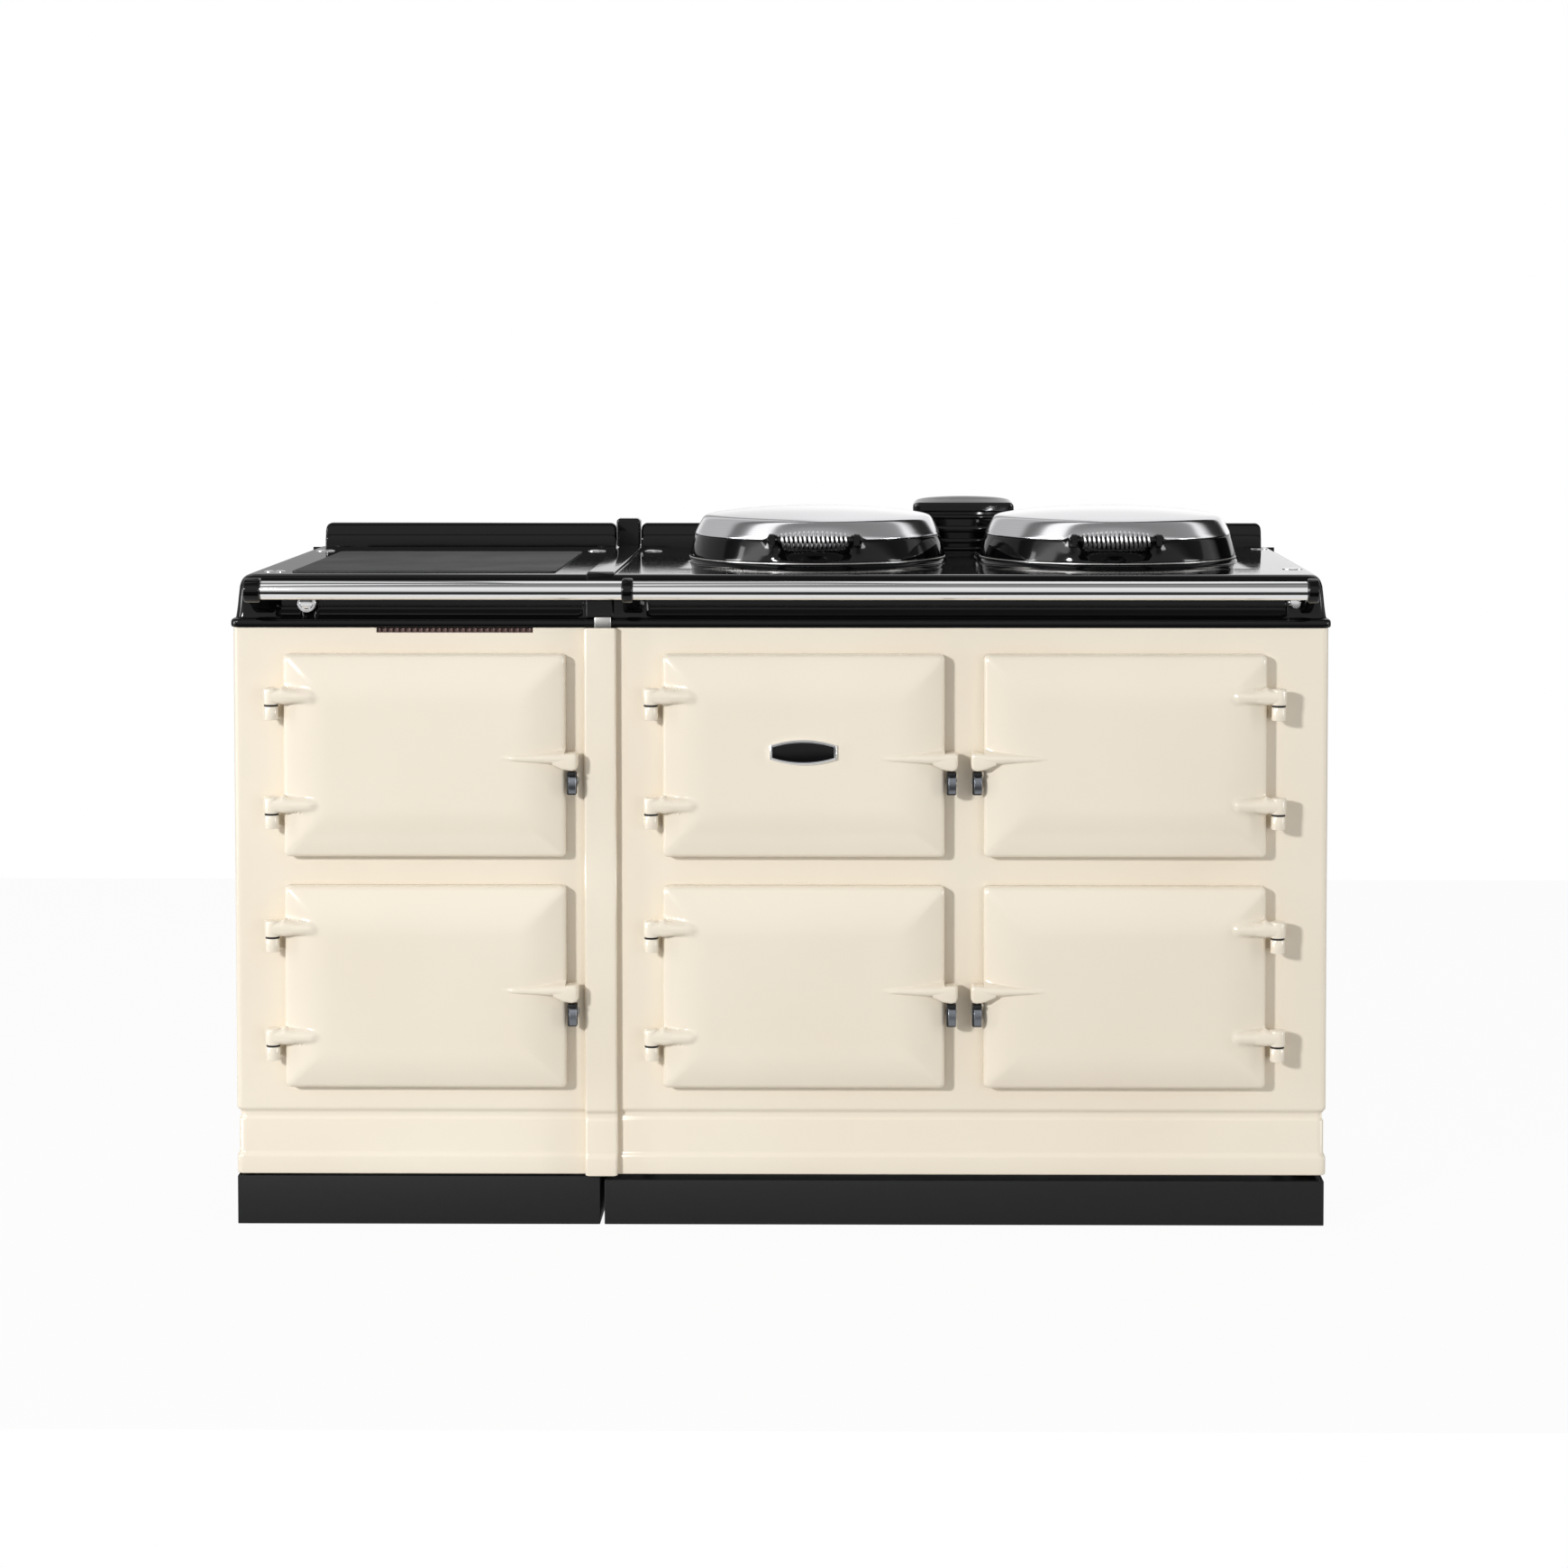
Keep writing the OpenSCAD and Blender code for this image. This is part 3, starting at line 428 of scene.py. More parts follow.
def plinthPaintFinish():
    # satin black paint over sheet: fine orange peel and slight scuffs near the floor
    material, f = makeFinish("plinthPaint")
    peel = f.noise(700.0, 2.0)
    scuff = f.noise(60.0, 5.0, 0.7, f.place((0.35, 1, 3)))
    colour = f.mixColour(scuff * 0.35, linear(10, 10, 11), linear(24, 24, 26))
    f.surface({"Base Color": colour, "Roughness": 0.46 + scuff * 0.16, "IOR": 1.35,
               "Normal": f.bump(peel, 0.12, 0.0004)})
    return material


def castIronFinish(name="castIron", colour=(46, 45, 44), rough=0.55, grain=0.5):
    # sand-cast grain: coarse and fine noise together, with dull patches
    material, f = makeFinish(name)
    coarse = f.noise(150.0, 4.0, 0.6)
    fine = f.noise(900.0, 3.0, 0.6)
    patch = f.noise(11.0, 3.0)
    colourOut = f.mixColour(patch, linear(*colour), darker(colour, 0.62))
    f.surface({"Base Color": colourOut, "Roughness": rough + patch * 0.2, "Metallic": 0.25,
               "Normal": f.bump(coarse * 0.6 + fine * 0.4, grain, 0.0006)})
    return material


def ovenEnamelFinish():
    # dark vitreous lining with the pale flecks of oven enamel
    material, f = makeFinish("ovenEnamel")
    spot = f.node("ShaderNodeTexVoronoi", {"feature": "F1"}, {"Vector": f.place(), "Scale": 260.0},
                  out="Distance")
    soot = f.noise(7.0, 4.0)
    base = f.mixColour(soot, linear(48, 48, 50), linear(26, 26, 27))
    colour = f.mixColour(spot.math("LESS_THAN", spot, 0.16), base, linear(150, 150, 152))
    f.surface({"Base Color": colour, "Roughness": 0.22 + soot * 0.2,
               "Normal": f.bump(f.noise(60.0, 3.0), 0.15, 0.001)})
    return material


def chromeFinish(name="polishedChrome", colour=(240, 240, 241), rough=0.03):
    # bright plating: hairline polish marks and soft smears in its gloss
    material, f = makeFinish(name)
    smear = f.noise(18.0, 4.0, 0.6)
    line = f.noise(260.0, 3.0, 0.6, f.place((0.04, 1, 1)))
    colourOut = f.mixColour(smear * 0.4, linear(*colour), linear(*[value - 14 for value in colour]))
    f.surface({"Base Color": colourOut, "Metallic": 1.0, "Roughness": rough + smear * 0.05,
               "Normal": f.bump(line, 0.012, 0.0003)})
    return material


def domeFinish(name, centre):
    # spun stainless dome: fine rings round the lid's own centre, polished over
    material, f = makeFinish(name)
    here = f.place((1, 1, 0), (-centre[0] * 0.001, -centre[1] * 0.001, 0))
    reach = f.node("ShaderNodeVectorMath", {"operation": "LENGTH"}, {0: here}, out="Value")
    rings = f.node("ShaderNodeTexNoise", {"noise_dimensions": "1D"},
                   {"W": reach, "Scale": 1500.0, "Detail": 2.0})
    smear = f.noise(8.0, 3.0)
    colour = f.mixColour(rings * 0.5, linear(236, 236, 238), linear(218, 218, 221))
    f.surface({"Base Color": colour, "Metallic": 1.0, "Roughness": 0.10 + rings * 0.07 + smear * 0.04,
               "Normal": f.bump(rings, 0.02, 0.0002)})
    return material


def brushedFinish(name, colour, rough, way=(1, 1, 0.03), grain=0.05):
    # metal brushed along one axis: noise stretched that way moves tone, gloss and height
    material, f = makeFinish(name)
    grainLine = f.noise(700.0, 3.0, 0.6, f.place(way))
    smear = f.noise(14.0, 3.0)
    colourOut = f.mixColour(grainLine * 0.6, linear(*colour), darker(colour, 0.84))
    f.surface({"Base Color": colourOut, "Metallic": 1.0, "Roughness": rough + grainLine * 0.12 + smear * 0.06,
               "Normal": f.bump(grainLine, grain, 0.0002)})
    return material


def zincFinish():
    # galvanised sheet: angular spangles that differ in tone and gloss
    material, f = makeFinish("zincSheet")
    spangle = f.node("ShaderNodeTexVoronoi", {"feature": "F1"}, {"Vector": f.place(), "Scale": 70.0},
                     out="Color")
    tone = f.node("ShaderNodeSeparateColor", None, {"Color": spangle})
    colour = f.mixColour(tone, linear(172, 176, 179), linear(158, 162, 166))
    f.surface({"Base Color": colour, "Metallic": 0.85, "Roughness": 0.38 + tone * 0.1,
               "Normal": f.bump(f.noise(120.0, 3.0), 0.05, 0.0005)})
    return material


def ropeFinish():
    # glass-fibre rope: pale fibres with a yarn-scale bump
    material, f = makeFinish("glassRope")
    yarn = f.noise(1600.0, 3.0, 0.7)
    colour = f.mixColour(yarn, linear(214, 208, 194), linear(168, 160, 144))
    f.surface({"Base Color": colour, "Roughness": 0.85, "Normal": f.bump(yarn, 0.6, 0.0006)})
    return material


def woolFinish():
    # mineral wool: matted fibres in buff and brown
    material, f = makeFinish("mineralWool")
    fibre = f.noise(220.0, 6.0, 0.75, f.place((1, 1, 4)))
    colour = f.mixColour(fibre, linear(206, 196, 166), linear(150, 138, 106))
    f.surface({"Base Color": colour, "Roughness": 0.95, "Normal": f.bump(fibre, 0.9, 0.003)})
    return material


def plasticFinish(name, colour, rough=0.45):
    # moulded plastic: spark-eroded texture and a soft sheen
    material, f = makeFinish(name)
    spark = f.noise(1100.0, 2.0, 0.6)
    cloud = f.noise(25.0, 2.0)
    colourOut = f.mixColour(cloud * 0.5, linear(*colour), darker(colour, 0.8))
    f.surface({"Base Color": colourOut, "Roughness": rough + spark * 0.12,
               "Normal": f.bump(spark, 0.25, 0.0003)})
    return material


def turnedIronFinish(name, centre):
    # machined hotplate: fine turning rings about its centre over dark iron
    material, f = makeFinish(name)
    here = f.place((1, 1, 0), (-centre[0] * 0.001, -centre[1] * 0.001, 0))
    reach = f.node("ShaderNodeVectorMath", {"operation": "LENGTH"}, {0: here}, out="Value")
    rings = f.node("ShaderNodeTexNoise", {"noise_dimensions": "1D"},
                   {"W": reach, "Scale": 700.0, "Detail": 2.0})
    stain = f.noise(12.0, 5.0, 0.65)
    colour = f.mixColour(stain, linear(74, 74, 76), linear(48, 46, 45))
    f.surface({"Base Color": colour, "Metallic": 0.7, "Roughness": 0.34 + rings * 0.14 + stain * 0.1,
               "Normal": f.bump(rings, 0.12, 0.0004)})
    return material


def glowFinish():
    # lit segments behind a clear window
    material, f = makeFinish("displayGlow")
    f.surface({"Base Color": linear(150, 190, 180), "Roughness": 0.3,
               "Emission Color": linear(150, 214, 196), "Emission Strength": 0.6})
    return material


cream = creamEnamelFinish()
black = blackEnamelFinish()
plinthPaint = plinthPaintFinish()
iron = castIronFinish()
warmIron = castIronFinish("warmingIron", (48, 49, 49), 0.5, 0.3)
ovenLining = ovenEnamelFinish()
chrome = chromeFinish()
stainless = brushedFinish("brushedStainless", (206, 205, 202), 0.20, (1, 1, 0.03))
aluminium = brushedFinish("aluminiumSheet", (214, 215, 217), 0.28, (1, 1, 0.03), 0.08)
zinc = zincFinish()
rope = ropeFinish()
wool = woolFinish()
panelBlack = plasticFinish("panelBlack", (22, 22, 24), 0.4)
glandPlastic = plasticFinish("glandPlastic", (34, 34, 36), 0.42)
inletBrown = plasticFinish("inletBrown", (104, 80, 75), 0.5)
badgeBlack = blackEnamelFinish("badgeBlack", (8, 8, 10), 0.05, 0.02)
coilSteel = chromeFinish("coilSteel", (250, 250, 251), 0.32)
# near-black plastic for the hinge washers, also used as painted shade under the back panel's louvres
washerBlackAndSlotShade = plasticFinish("washerBlackAndSlotShade", (10, 9, 8), 0.6)
darkIron = castIronFinish("darkIron", (20, 20, 21), 0.34, 0.25)
keeperSteel = brushedFinish("keeperSteel", (128, 132, 138), 0.22, (1, 1, 0.03), 0.03)
displayGlow = glowFinish()
domes = [domeFinish("spunDome" + str(i), (lidX[i], lidY)) for i in range(2)]
turned = [turnedIronFinish("turnedIron" + str(i), (lidX[i], lidY)) for i in range(2)]
print("finishes made")

slotFinish = {
    "cream_enamel": cream, "black_enamel": black, "plinth_paint": plinthPaint, "cast_iron": iron,
    "polished_chrome": chrome, "stainless": stainless, "zinc_steel": zinc, "aluminium_sheet": aluminium,
    "rope": rope, "mineral_wool": wool, "panel_black": panelBlack, "gland_plastic": glandPlastic,
    "inlet_brown": inletBrown,
}
nodeFinish = {row["node"]: slotFinish[row["material_slot"]] for row in frame["record"]["subparts"]}
for oven in ("roasting", "baking", "simmering", "upper_warming", "lower_warming"):
    nodeFinish[oven + "_oven"] = ovenLining
for name, solid in frame["nodes"].items():
    solid.data.materials.clear()
    solid.data.materials.append(nodeFinish.get(name, iron))
print("solids finished:", len(nodeFinish))


skirtInset = np.array([[69, 0.8], [70, 0.2], [71, 0], [91, 0], [92.5, 0.15], [94, 0.6], [95.5, 1.3],
                       [97, 2.1], [98.5, 2.7], [100, 3], [142, 3], [143.5, 3.4], [145, 4.1], [146.5, 4.8],
                       [148, 5], [151, 5], [152.5, 4.8], [154, 4.1], [155.3, 3], [156.5, 1.7], [157.7, 0.8],
                       [159, 0.25], [160.5, 0], [162, 0], [812, 0]])


def skirtIn(z):
    # how far the plates stand in at a height, from the table above
    return np.interp(z, skirtInset[:, 0], skirtInset[:, 1])


plateLook = {"corner": 9.0, "thick": 8.0, "mouthHalfW": 150.0, "mouthHalfH": 100.0, "topLip": (811.3, 0.7)}


def frontPlatePart(xInner, xOuter, doorsHere, slotBox=None):
    # a grid of widths and heights, set in by the skirt and rolled off at the outer side, less the oven mouths
    side = math.copysign(1, xOuter)
    r = plateLook["corner"]
    halfMouthW, halfMouthH = plateLook["mouthHalfW"], plateLook["mouthHalfH"]
    lipZ, lipHigh = plateLook["topLip"]
    away = np.concatenate([r - r * np.sin(quarterTurn(8)[::-1]), [r + 1, r + 6, 30]])
    columns = np.concatenate([[xInner, xInner + side], xOuter - side * away])
    heights = skirtInset[:-1, 0]
    for spot in doorsHere:
        x, z, _ = doorSpots[spot]
        columns = np.concatenate([columns, [x - halfMouthW, x + halfMouthW]])
        heights = np.concatenate([heights, [z - halfMouthH, z + halfMouthH]])
    if slotBox:
        columns = np.concatenate([columns, slotBox[:2]])
        heights = np.concatenate([heights, [slotBox[2]]])
    columns = np.unique(columns)
    heights = np.unique(np.concatenate([heights, [808, lipZ, plateTopZ]]))

    def outer(a, b):
        edge = np.clip(r - side * (xOuter - a), 0, r)
        topRoll = lipHigh * (np.clip((b - lipZ) / lipHigh, 0, 1) + np.clip(footZ + 1 - b, 0, 1))
        innerRoll = np.clip(1 - abs(a - xInner), 0, 1) * 0.6
        return -skirtIn(b) - (r - np.sqrt(np.maximum(r * r - edge ** 2, 0))) * 0.86 - topRoll - innerRoll

    def inner(a, b):
        return outer(a, b) * 0 - plateLook["thick"]

    def keep(a, b):
        kept = np.ones(a.shape, bool)
        for spot in doorsHere:
            x, z, _ = doorSpots[spot]
            kept &= ~((abs(a - x) < halfMouthW) & (abs(b - z) < halfMouthH))
        if slotBox:
            kept &= ~((a > slotBox[0]) & (a < slotBox[1]) & (b > slotBox[2]))
        return kept

    points, faces = panelPart(columns, heights, outer, inner, keep)
    near = np.clip(1 - (side * (xOuter - points[:, 0]) - r) / 20, 0, 1)
    points[:, 0] -= side * skirtIn(points[:, 1]) * near
    return placed((points, faces), "front", (0, frontY, 0))


inletBox = (-544, -333, 805)  # left, right and floor of the air inlet
leftPlate = frontPlatePart(leftX1, -halfW, ["upper_warming", "lower_warming"], inletBox)
mainPlate = frontPlatePart(mainX0, halfW, ["control", "baking", "roasting", "simmering"])
makePiece("frontPlateLeft", body, [(leftPlate, cream)], ["front_plate_left"])
makePiece("frontPlateMain", body, [(mainPlate, cream)], ["front_plate_main"])


inletLook = {"slats": 26, "slatHalf": 1.5, "barTop": 811.2, "barLow": 805.6}


def inletParts():
    # a channel that lines the slot, with a row of fine upright slats across it
    i = inletLook
    x0, x1, floorZ = inletBox
    mid, half = (x0 + x1) / 2, (x1 - x0) / 2
    tray = slab(half - 0.2, 4.4, 1.2, roundedEdge(floorZ - 0.2, floorZ + 0.7, 0.3, 2), 4)
    back = slab(half - 0.2, 1.0, 0.4, roundedEdge(floorZ, 811.8, 0.3, 2), 3)
    parts = [moved(tray, mid, frontY + 4.8, 0), moved(back, mid, frontY + 7, 0)]
    for x in np.linspace(x0 + 4, x1 - 4, i["slats"]):
        slat = slab(i["slatHalf"], 1.6, 0.7, roundedEdge(i["barLow"], i["barTop"], 0.4, 2), 2)
        parts.append(moved(slat, x, frontY + 3.6, 0))
    return parts


makePiece("inletTrim", body, [(part, inletBrown) for part in inletParts()], ["air_inlet_trim"])


sideLook = {"thick": 3.0, "flange": (3, 12), "boardIn": 11.5, "boardZ": 60, "boardHalfH": 20}


def sidePanelPart(sign):
    # the skirt's profile along the depth, rolled in a little at both ends
    depths = np.concatenate([frontY + np.array([8.2, 8.7, 9.5, 14]), backY - np.array([10, 5.2, 4.4, 4])])
    sheet = np.interp(depths, depths, [0.7, 0.2, 0, 0, 0, 0, 0.4, 1.0])
    depths = depths if sign > 0 else -depths[::-1]
    sheet = sheet if sign > 0 else sheet[::-1]
    heights = np.unique(np.concatenate([skirtInset[:-1, 0], [808, plateLook["topLip"][0], plateTopZ]]))

    def outer(a, b):
        return -skirtIn(b) - np.interp(a, depths, sheet) - 0.5 * np.clip((b - 811.3) / 0.7, 0, 1)

    part = panelPart(depths, heights, outer, lambda a, b: -skirtIn(b) - sideLook["thick"])
    return placed(part, sideWay[sign], (sign * halfW, 0, 0))


def sideFlangePart(sign):
    # a return at the back edge of each side, turned in behind the back panel
    x = np.sort([sign * (halfW - reach) for reach in sideLook["flange"]])
    part = panelPart(x, [70, 811.5], flatLevel(0), flatLevel(-2))
    return placed(mirroredX(part), "back", (0, backY - 4, 0))


def innerBoardPart(sign):
    # a dark board inside the foot of each side that closes the gap above the plinth: painted shade, a dark
    # sheet standing for the shadowed inside of the foot
    board = slab((backY - frontY - 32) / 2, sideLook["boardHalfH"], 0.6, roundedEdge(0, 2.4, 0.4, 2), 2)
    at = (sign * (halfW - sideLook["boardIn"]), (backY + frontY - 12) / 2, sideLook["boardZ"])
    return placed(board, sideWay[sign], at)


sideParts = []
for make, material in ((sidePanelPart, cream), (sideFlangePart, cream), (innerBoardPart, plinthPaint)):
    sideParts += [(make(sign), material) for sign in (1, -1)]
makePiece("sidePanels", body, sideParts, ["side_panels"])


backLook = {"y": 334.5, "low": 79.0, "high": 811.0, "border": 24.0, "louvre": (52.0, 5.0, 3.6), "screw": 4.6,
            "panels": ((-729, -254, (-590, -395)), (-236, 729, (-60, 245, 550)))}


def louvrePart(x, z):
    # a pressed hood, an open lower edge under a rise of sin(180 t) along it
    half, high, out = backLook["louvre"]
    along = np.sin(np.linspace(-1, 1, 25) * math.pi / 2)
    swell = np.sqrt(np.maximum(1 - along ** 2, 0)) ** 0.6
    turn = quarterTurn(6)
    rows = []
    for t in turn:
        rows.append(np.column_stack([along * half, high - 2 * high * math.sin(t) * swell * 0.9,
                                     out * (1 - math.cos(t)) * swell]))
    for lift in (0.7, 3.0):
        rows.append(np.column_stack([along * (half - 1), high - 1.8 * high * swell * 0.94,
                                     (out - lift) * swell]))
    return placed(gridPart(np.array(rows)), "back", (x, backLook["y"] + 5.1, z))


def backPanelParts():
    # sheets pressed out inside their border, with groups of hooded louvres and screws along the border; a
    # dark strip under each hood is painted shade for the louvre's opening
    b = backLook
    parts = []
    for x0, x1, groups in b["panels"]:
        mid, half = (x0 + x1) / 2, (x1 - x0) / 2
        midZ, halfZ = (b["low"] + b["high"]) / 2, (b["high"] - b["low"]) / 2
        steps = [(0, 0), (0, 2.6), (0.4, 3), (b["border"], 3), (b["border"] + 1, 3.3),
                 (b["border"] + 2.4, 4.6), (b["border"] + 3.6, 5.1), (b["border"] + 12, 5.1)]
        sheet = slab(half, halfZ, 3, steps, 3)
        parts.append((placed(sheet, "back", (mid, b["y"], midZ)), zinc))
        for x in groups:
            for z in (560, 592, 624, 656, 688):
                parts.append((louvrePart(x, z), zinc))
                # a thin dark strip on the sheet under each hood: painted shade where the louvre's opening
                # would show the shadowed inside
                slot = slab(b["louvre"][0] - 6, 2.2, 1.5, [(0, 4.9), (0, 5.35)], 3)
                parts.append((placed(slot, "back", (x, b["y"], z - 4.6)), washerBlackAndSlotShade))
        head = lathe([(b["screw"], 0), (b["screw"], 0.6), (b["screw"] * 0.85, 1.7), (b["screw"] * 0.5, 2.3),
                      (0.3, 2.5)], 20)
        spots = [(x, z) for x in np.linspace(x0 + 12, x1 - 12, round((x1 - x0) / 150) + 1)
                 for z in (b["low"] + 12, b["high"] - 60)]
        spots += [(x, z) for x in (x0 + 12, x1 - 12) for z in (260, 440, 610)]
        for x, z in spots:
            parts.append((placed(head, "back", (x, b["y"] + 2.9, z)), stainless))
    return parts


makePiece("backPanels", body, backPanelParts(), ["back_panels"])


def coverStripPart():
    # a rounded bar in plan that follows the skirt's profile from the plinth to the hob
    levels = [(z, inset) for z, inset in skirtInset[2:-1]]
    levels = [(69, 1.6), (69.6, 0.5)] + levels + [(810.2, 0), (811.3, 0.5), (812, 1.6)]
    rings = []
    for z, inset in levels:
        shrink = inset if z > 800 or z < 70 else 0
        ring = roundedRing(22 - shrink, 7 - shrink * 0.5, 4.2, 7)
        drop = 0 if shrink else inset
        rings.append(np.column_stack([ring[:, 0] + splitX + 1, ring[:, 1] + frontY - 5 + drop,
                                      np.full(len(ring), z)]))
    return loftPart(rings)


makePiece("coverStrip", body, [(coverStripPart(), cream)], ["cover_strip"])
print("enamelled body made")


doorLook = {"width": 379.0, "height": 273.0, "corner": 6.5, "edge": 21.0, "crown": 35.0, "fade": 64.0,
            "roll": 4.6, "axisOut": 15.0, "axisFwd": 27.0, "armZ": (81.0, -65.5), "armTop": 37.8,
            "armR": (10.6, 8.6), "armEnd": 64.0, "latchZ": -3.5, "ribEnd": 78.0, "noseOut": 17.5}


def softMax(first, second, reach):
    # the larger of two heights, rounded over where they cross
    return np.maximum(first, second) + np.maximum(reach - abs(first - second), 0) ** 2 / (4 * reach)


def doorHeight(u):
    # a quarter-round edge over the roll, then a slope that eases off as 1 - (1 - u / fade)^2
    d = doorLook
    near = np.clip(u / d["roll"], 0, 1)
    rolled = d["edge"] - d["roll"] + d["roll"] * np.sqrt(1 - (1 - near) ** 2)
    rise = np.clip((u - 1.5) / d["fade"], 0, 1)
    return rolled + (d["crown"] - d["edge"]) * (1 - (1 - rise) ** 2)


def barHeight(top, radius, off):
    # height of a round bar whose crest is at top, falling away steeply beyond its sides
    across = abs(off) / radius
    return top - radius + np.where(across < 1, radius * np.sqrt(np.maximum(1 - across ** 2, 0)),
                                   -radius * (across - 1) * 3)


def doorSwell(a, b, height):
    # the hinge arms and the latch rib rise out of the door's face and sink back at a rounded end
    d = doorLook
    along = a + d["width"] / 2 + d["axisOut"]
    radius = np.interp(along, [0, d["armEnd"]], d["armR"])
    sink = 14 * np.clip((along - d["armEnd"] + 12) / 16, 0, 2) ** 2
    for z in d["armZ"]:
        height = softMax(height, barHeight(d["armTop"] - sink, radius, b - z), 3.2)
    inward = d["width"] / 2 - a
    radius = np.interp(inward, [0, 20, d["ribEnd"]], [7.4, 6.6, 3.2])
    sink = 8 * np.clip((inward - d["ribEnd"] + 10) / 16, 0, 2) ** 2
    crest = np.interp(inward, [0, 20, d["ribEnd"]], [38.2, 39.4, 37.4]) - sink
    return softMax(height, barHeight(crest, radius, b - d["latchZ"] - 1.5), 1.6)


def sidePlan(half, spots, spread, count=104):
    # shares of a side, packed more closely round each spot: equal steps of the running sum of a density
    fine = np.linspace(-half, half, 900)
    density = 1 + sum(3.4 * np.exp(-((fine - spot) / spread) ** 2) for spot in spots)
    total = np.concatenate([[0], np.cumsum((density[1:] + density[:-1]) / 2)])
    return np.interp(np.linspace(0, total[-1], count + 1), total, np.linspace(0, 1, 900))


def doorShell():
    # rounded rectangles drawn in step by step from the edge, each at the height that its inset gives
    d = doorLook
    halfA, halfB = d["width"] / 2, d["height"] / 2
    plan = sidePlan(halfB, list(d["armZ"]) + [d["latchZ"]], 15.0)
    rows = []
    for inset, level in [(7.2, 16.2), (7.2, 2.3), (6.9, 2), (1.2, 2), (0.35, 2.35), (0, 3.2)]:
        flat = roundedRing(halfA - inset, halfB - inset, max(d["corner"] - inset, 1), 7, 60, plan)
        rows.append(atLevel(flat, level))
    insets = np.concatenate([[0, 0.15, 0.5, 1.1, 1.9, 2.8, 3.8], np.arange(5, 30, 2.5), np.arange(30, 67, 3),
                             [72, 79, 86, 94]])
    for inset in insets:
        flat = roundedRing(halfA - inset, halfB - inset, d["corner"] + 0.03 * inset, 7, 60, plan)
        height = doorSwell(flat[:, 0], flat[:, 1], doorHeight(np.full(len(flat), float(inset))))
        rows.append(np.column_stack([flat, height]))
    return loftPart(rows)


def armPart(z):
    # a barrel round the hinge pin, and a horn of superellipse rings that flares where it meets the door
    d = doorLook
    axisA = -d["width"] / 2 - d["axisOut"]
    profile = [(4.2, -11), (9.2, -11), (10.1, -10.7), (10.6, -9.8), (10.7, -8), (10.7, 8), (10.3, 9.6),
               (9.3, 10.7), (7.5, 11), (1, 11)]
    barrel = placed(lathe(profile, 44), "standing", (axisA, z, d["axisFwd"]))
    along = np.concatenate([np.linspace(0, 24, 17), np.linspace(28, 60, 6)])
    wide = np.interp(along, [0, 24, 60], [10.8, 10.2, 6])
    deep = np.interp(along, [0, 24, 60], [10.7, 10.7, 6])
    angle = fullTurn(36)
    path = np.column_stack([axisA + along, np.full(len(along), z), np.full(len(along), d["axisFwd"])])
    fillet = np.exp(-((along - 16.5) / 3.4) ** 2)[:, None] * np.where(np.sin(angle) > 0, 3.0, 0.8)
    tall = (wide[:, None] + fillet) * np.sign(np.sin(angle)) * abs(np.sin(angle)) ** 0.62
    rings = path[:, None] + np.stack([np.zeros((len(along), 36)), tall, deep[:, None] * np.cos(angle)], -1)
    return [barrel, loftPart(rings[:, ::-1])]


def latchPart():
    # the latch's nose: rounded rings whose top and foot flare out of the door's edge and close at the end
    d = doorLook
    rows = []
    for share in np.linspace(0, 1, 17):
        a = d["width"] / 2 - 16 + share * (16 + d["noseOut"])
        close = max(0.0, share - 0.9) / 0.1
        top = np.interp(share, [0, 0.42, 0.6, 1], [7.6, 7.2, 8.4, 9.2]) - 2.2 * close ** 2
        foot = np.interp(share, [0, 0.42, 0.75, 1], [-7.4, -13.5, -15.5, -13.5]) + 2.2 * close ** 2
        front = np.interp(share, [0, 0.4, 1], [37.6, 38.2, 37.2]) - 2.4 * close ** 2
        ring = roundedRing((top - foot) / 2 - 0.9 * close, (front - 9) / 2 - 0.9 * close, 4.6, 6)
        rows.append(np.column_stack([np.full(len(ring), a), ring[:, 0] + d["latchZ"] + (top + foot) / 2,
                                     ring[:, 1] + (front + 9) / 2]))
    return loftPart(rows)


def boltHead(radius, rise):
    # the profile of a low domed head: radius * cos(t) and rise * sin(t) over a short upright side
    turn = np.radians(np.linspace(0, 84, 7))
    dome = [(radius * math.cos(t), rise * (0.35 + 0.65 * math.sin(t))) for t in turn[1:]]
    return [(radius, -1), (radius, rise * 0.35)] + dome


def innerPanelParts():
    # a pressed sheet that closes the back of the door, with a stepped border and four bolts
    profile = [(0, -16), (0, -3.2), (0.5, -2.3), (1.4, -2), (24, -2), (25.5, -2.4), (27, -3.8), (31, -4),
               (33, -3.8), (34.5, -2.4), (36, -2)]
    parts = [slab(182.3, 129.3, 5, profile, 6)]
    for sa in (-1, 1):
        for sb in (-1, 1):
            head = lathe(boltHead(5, 2.4), 24)
            parts.append(moved(head, sa * 168, sb * 115, -2.4))
    return parts


for name, (x, z, side) in doorSpots.items():
    leaf = name + "_door_leaf"
    parts = [doorShell()] + armPart(doorLook["armZ"][0]) + armPart(doorLook["armZ"][1]) + [latchPart()]
    if side < 0:
        parts = [mirroredX(part) for part in parts]
    makePiece(name + "DoorCasting", leaf,
              [(placed(part, "front", (x, frontY, z)), cream) for part in parts], [name + "_door"], 40)
    parts = innerPanelParts()
    makePiece(name + "DoorPanel", leaf,
              [(placed(part, "back", (x, frontY, z)), aluminium if i == 0 else stainless)
               for i, part in enumerate(parts)],
              [name + "_door_panel"])
print("doors made")


postLook = {"reach": 27.0, "radius": 9.6, "high": 18.2, "gap": 2.5}


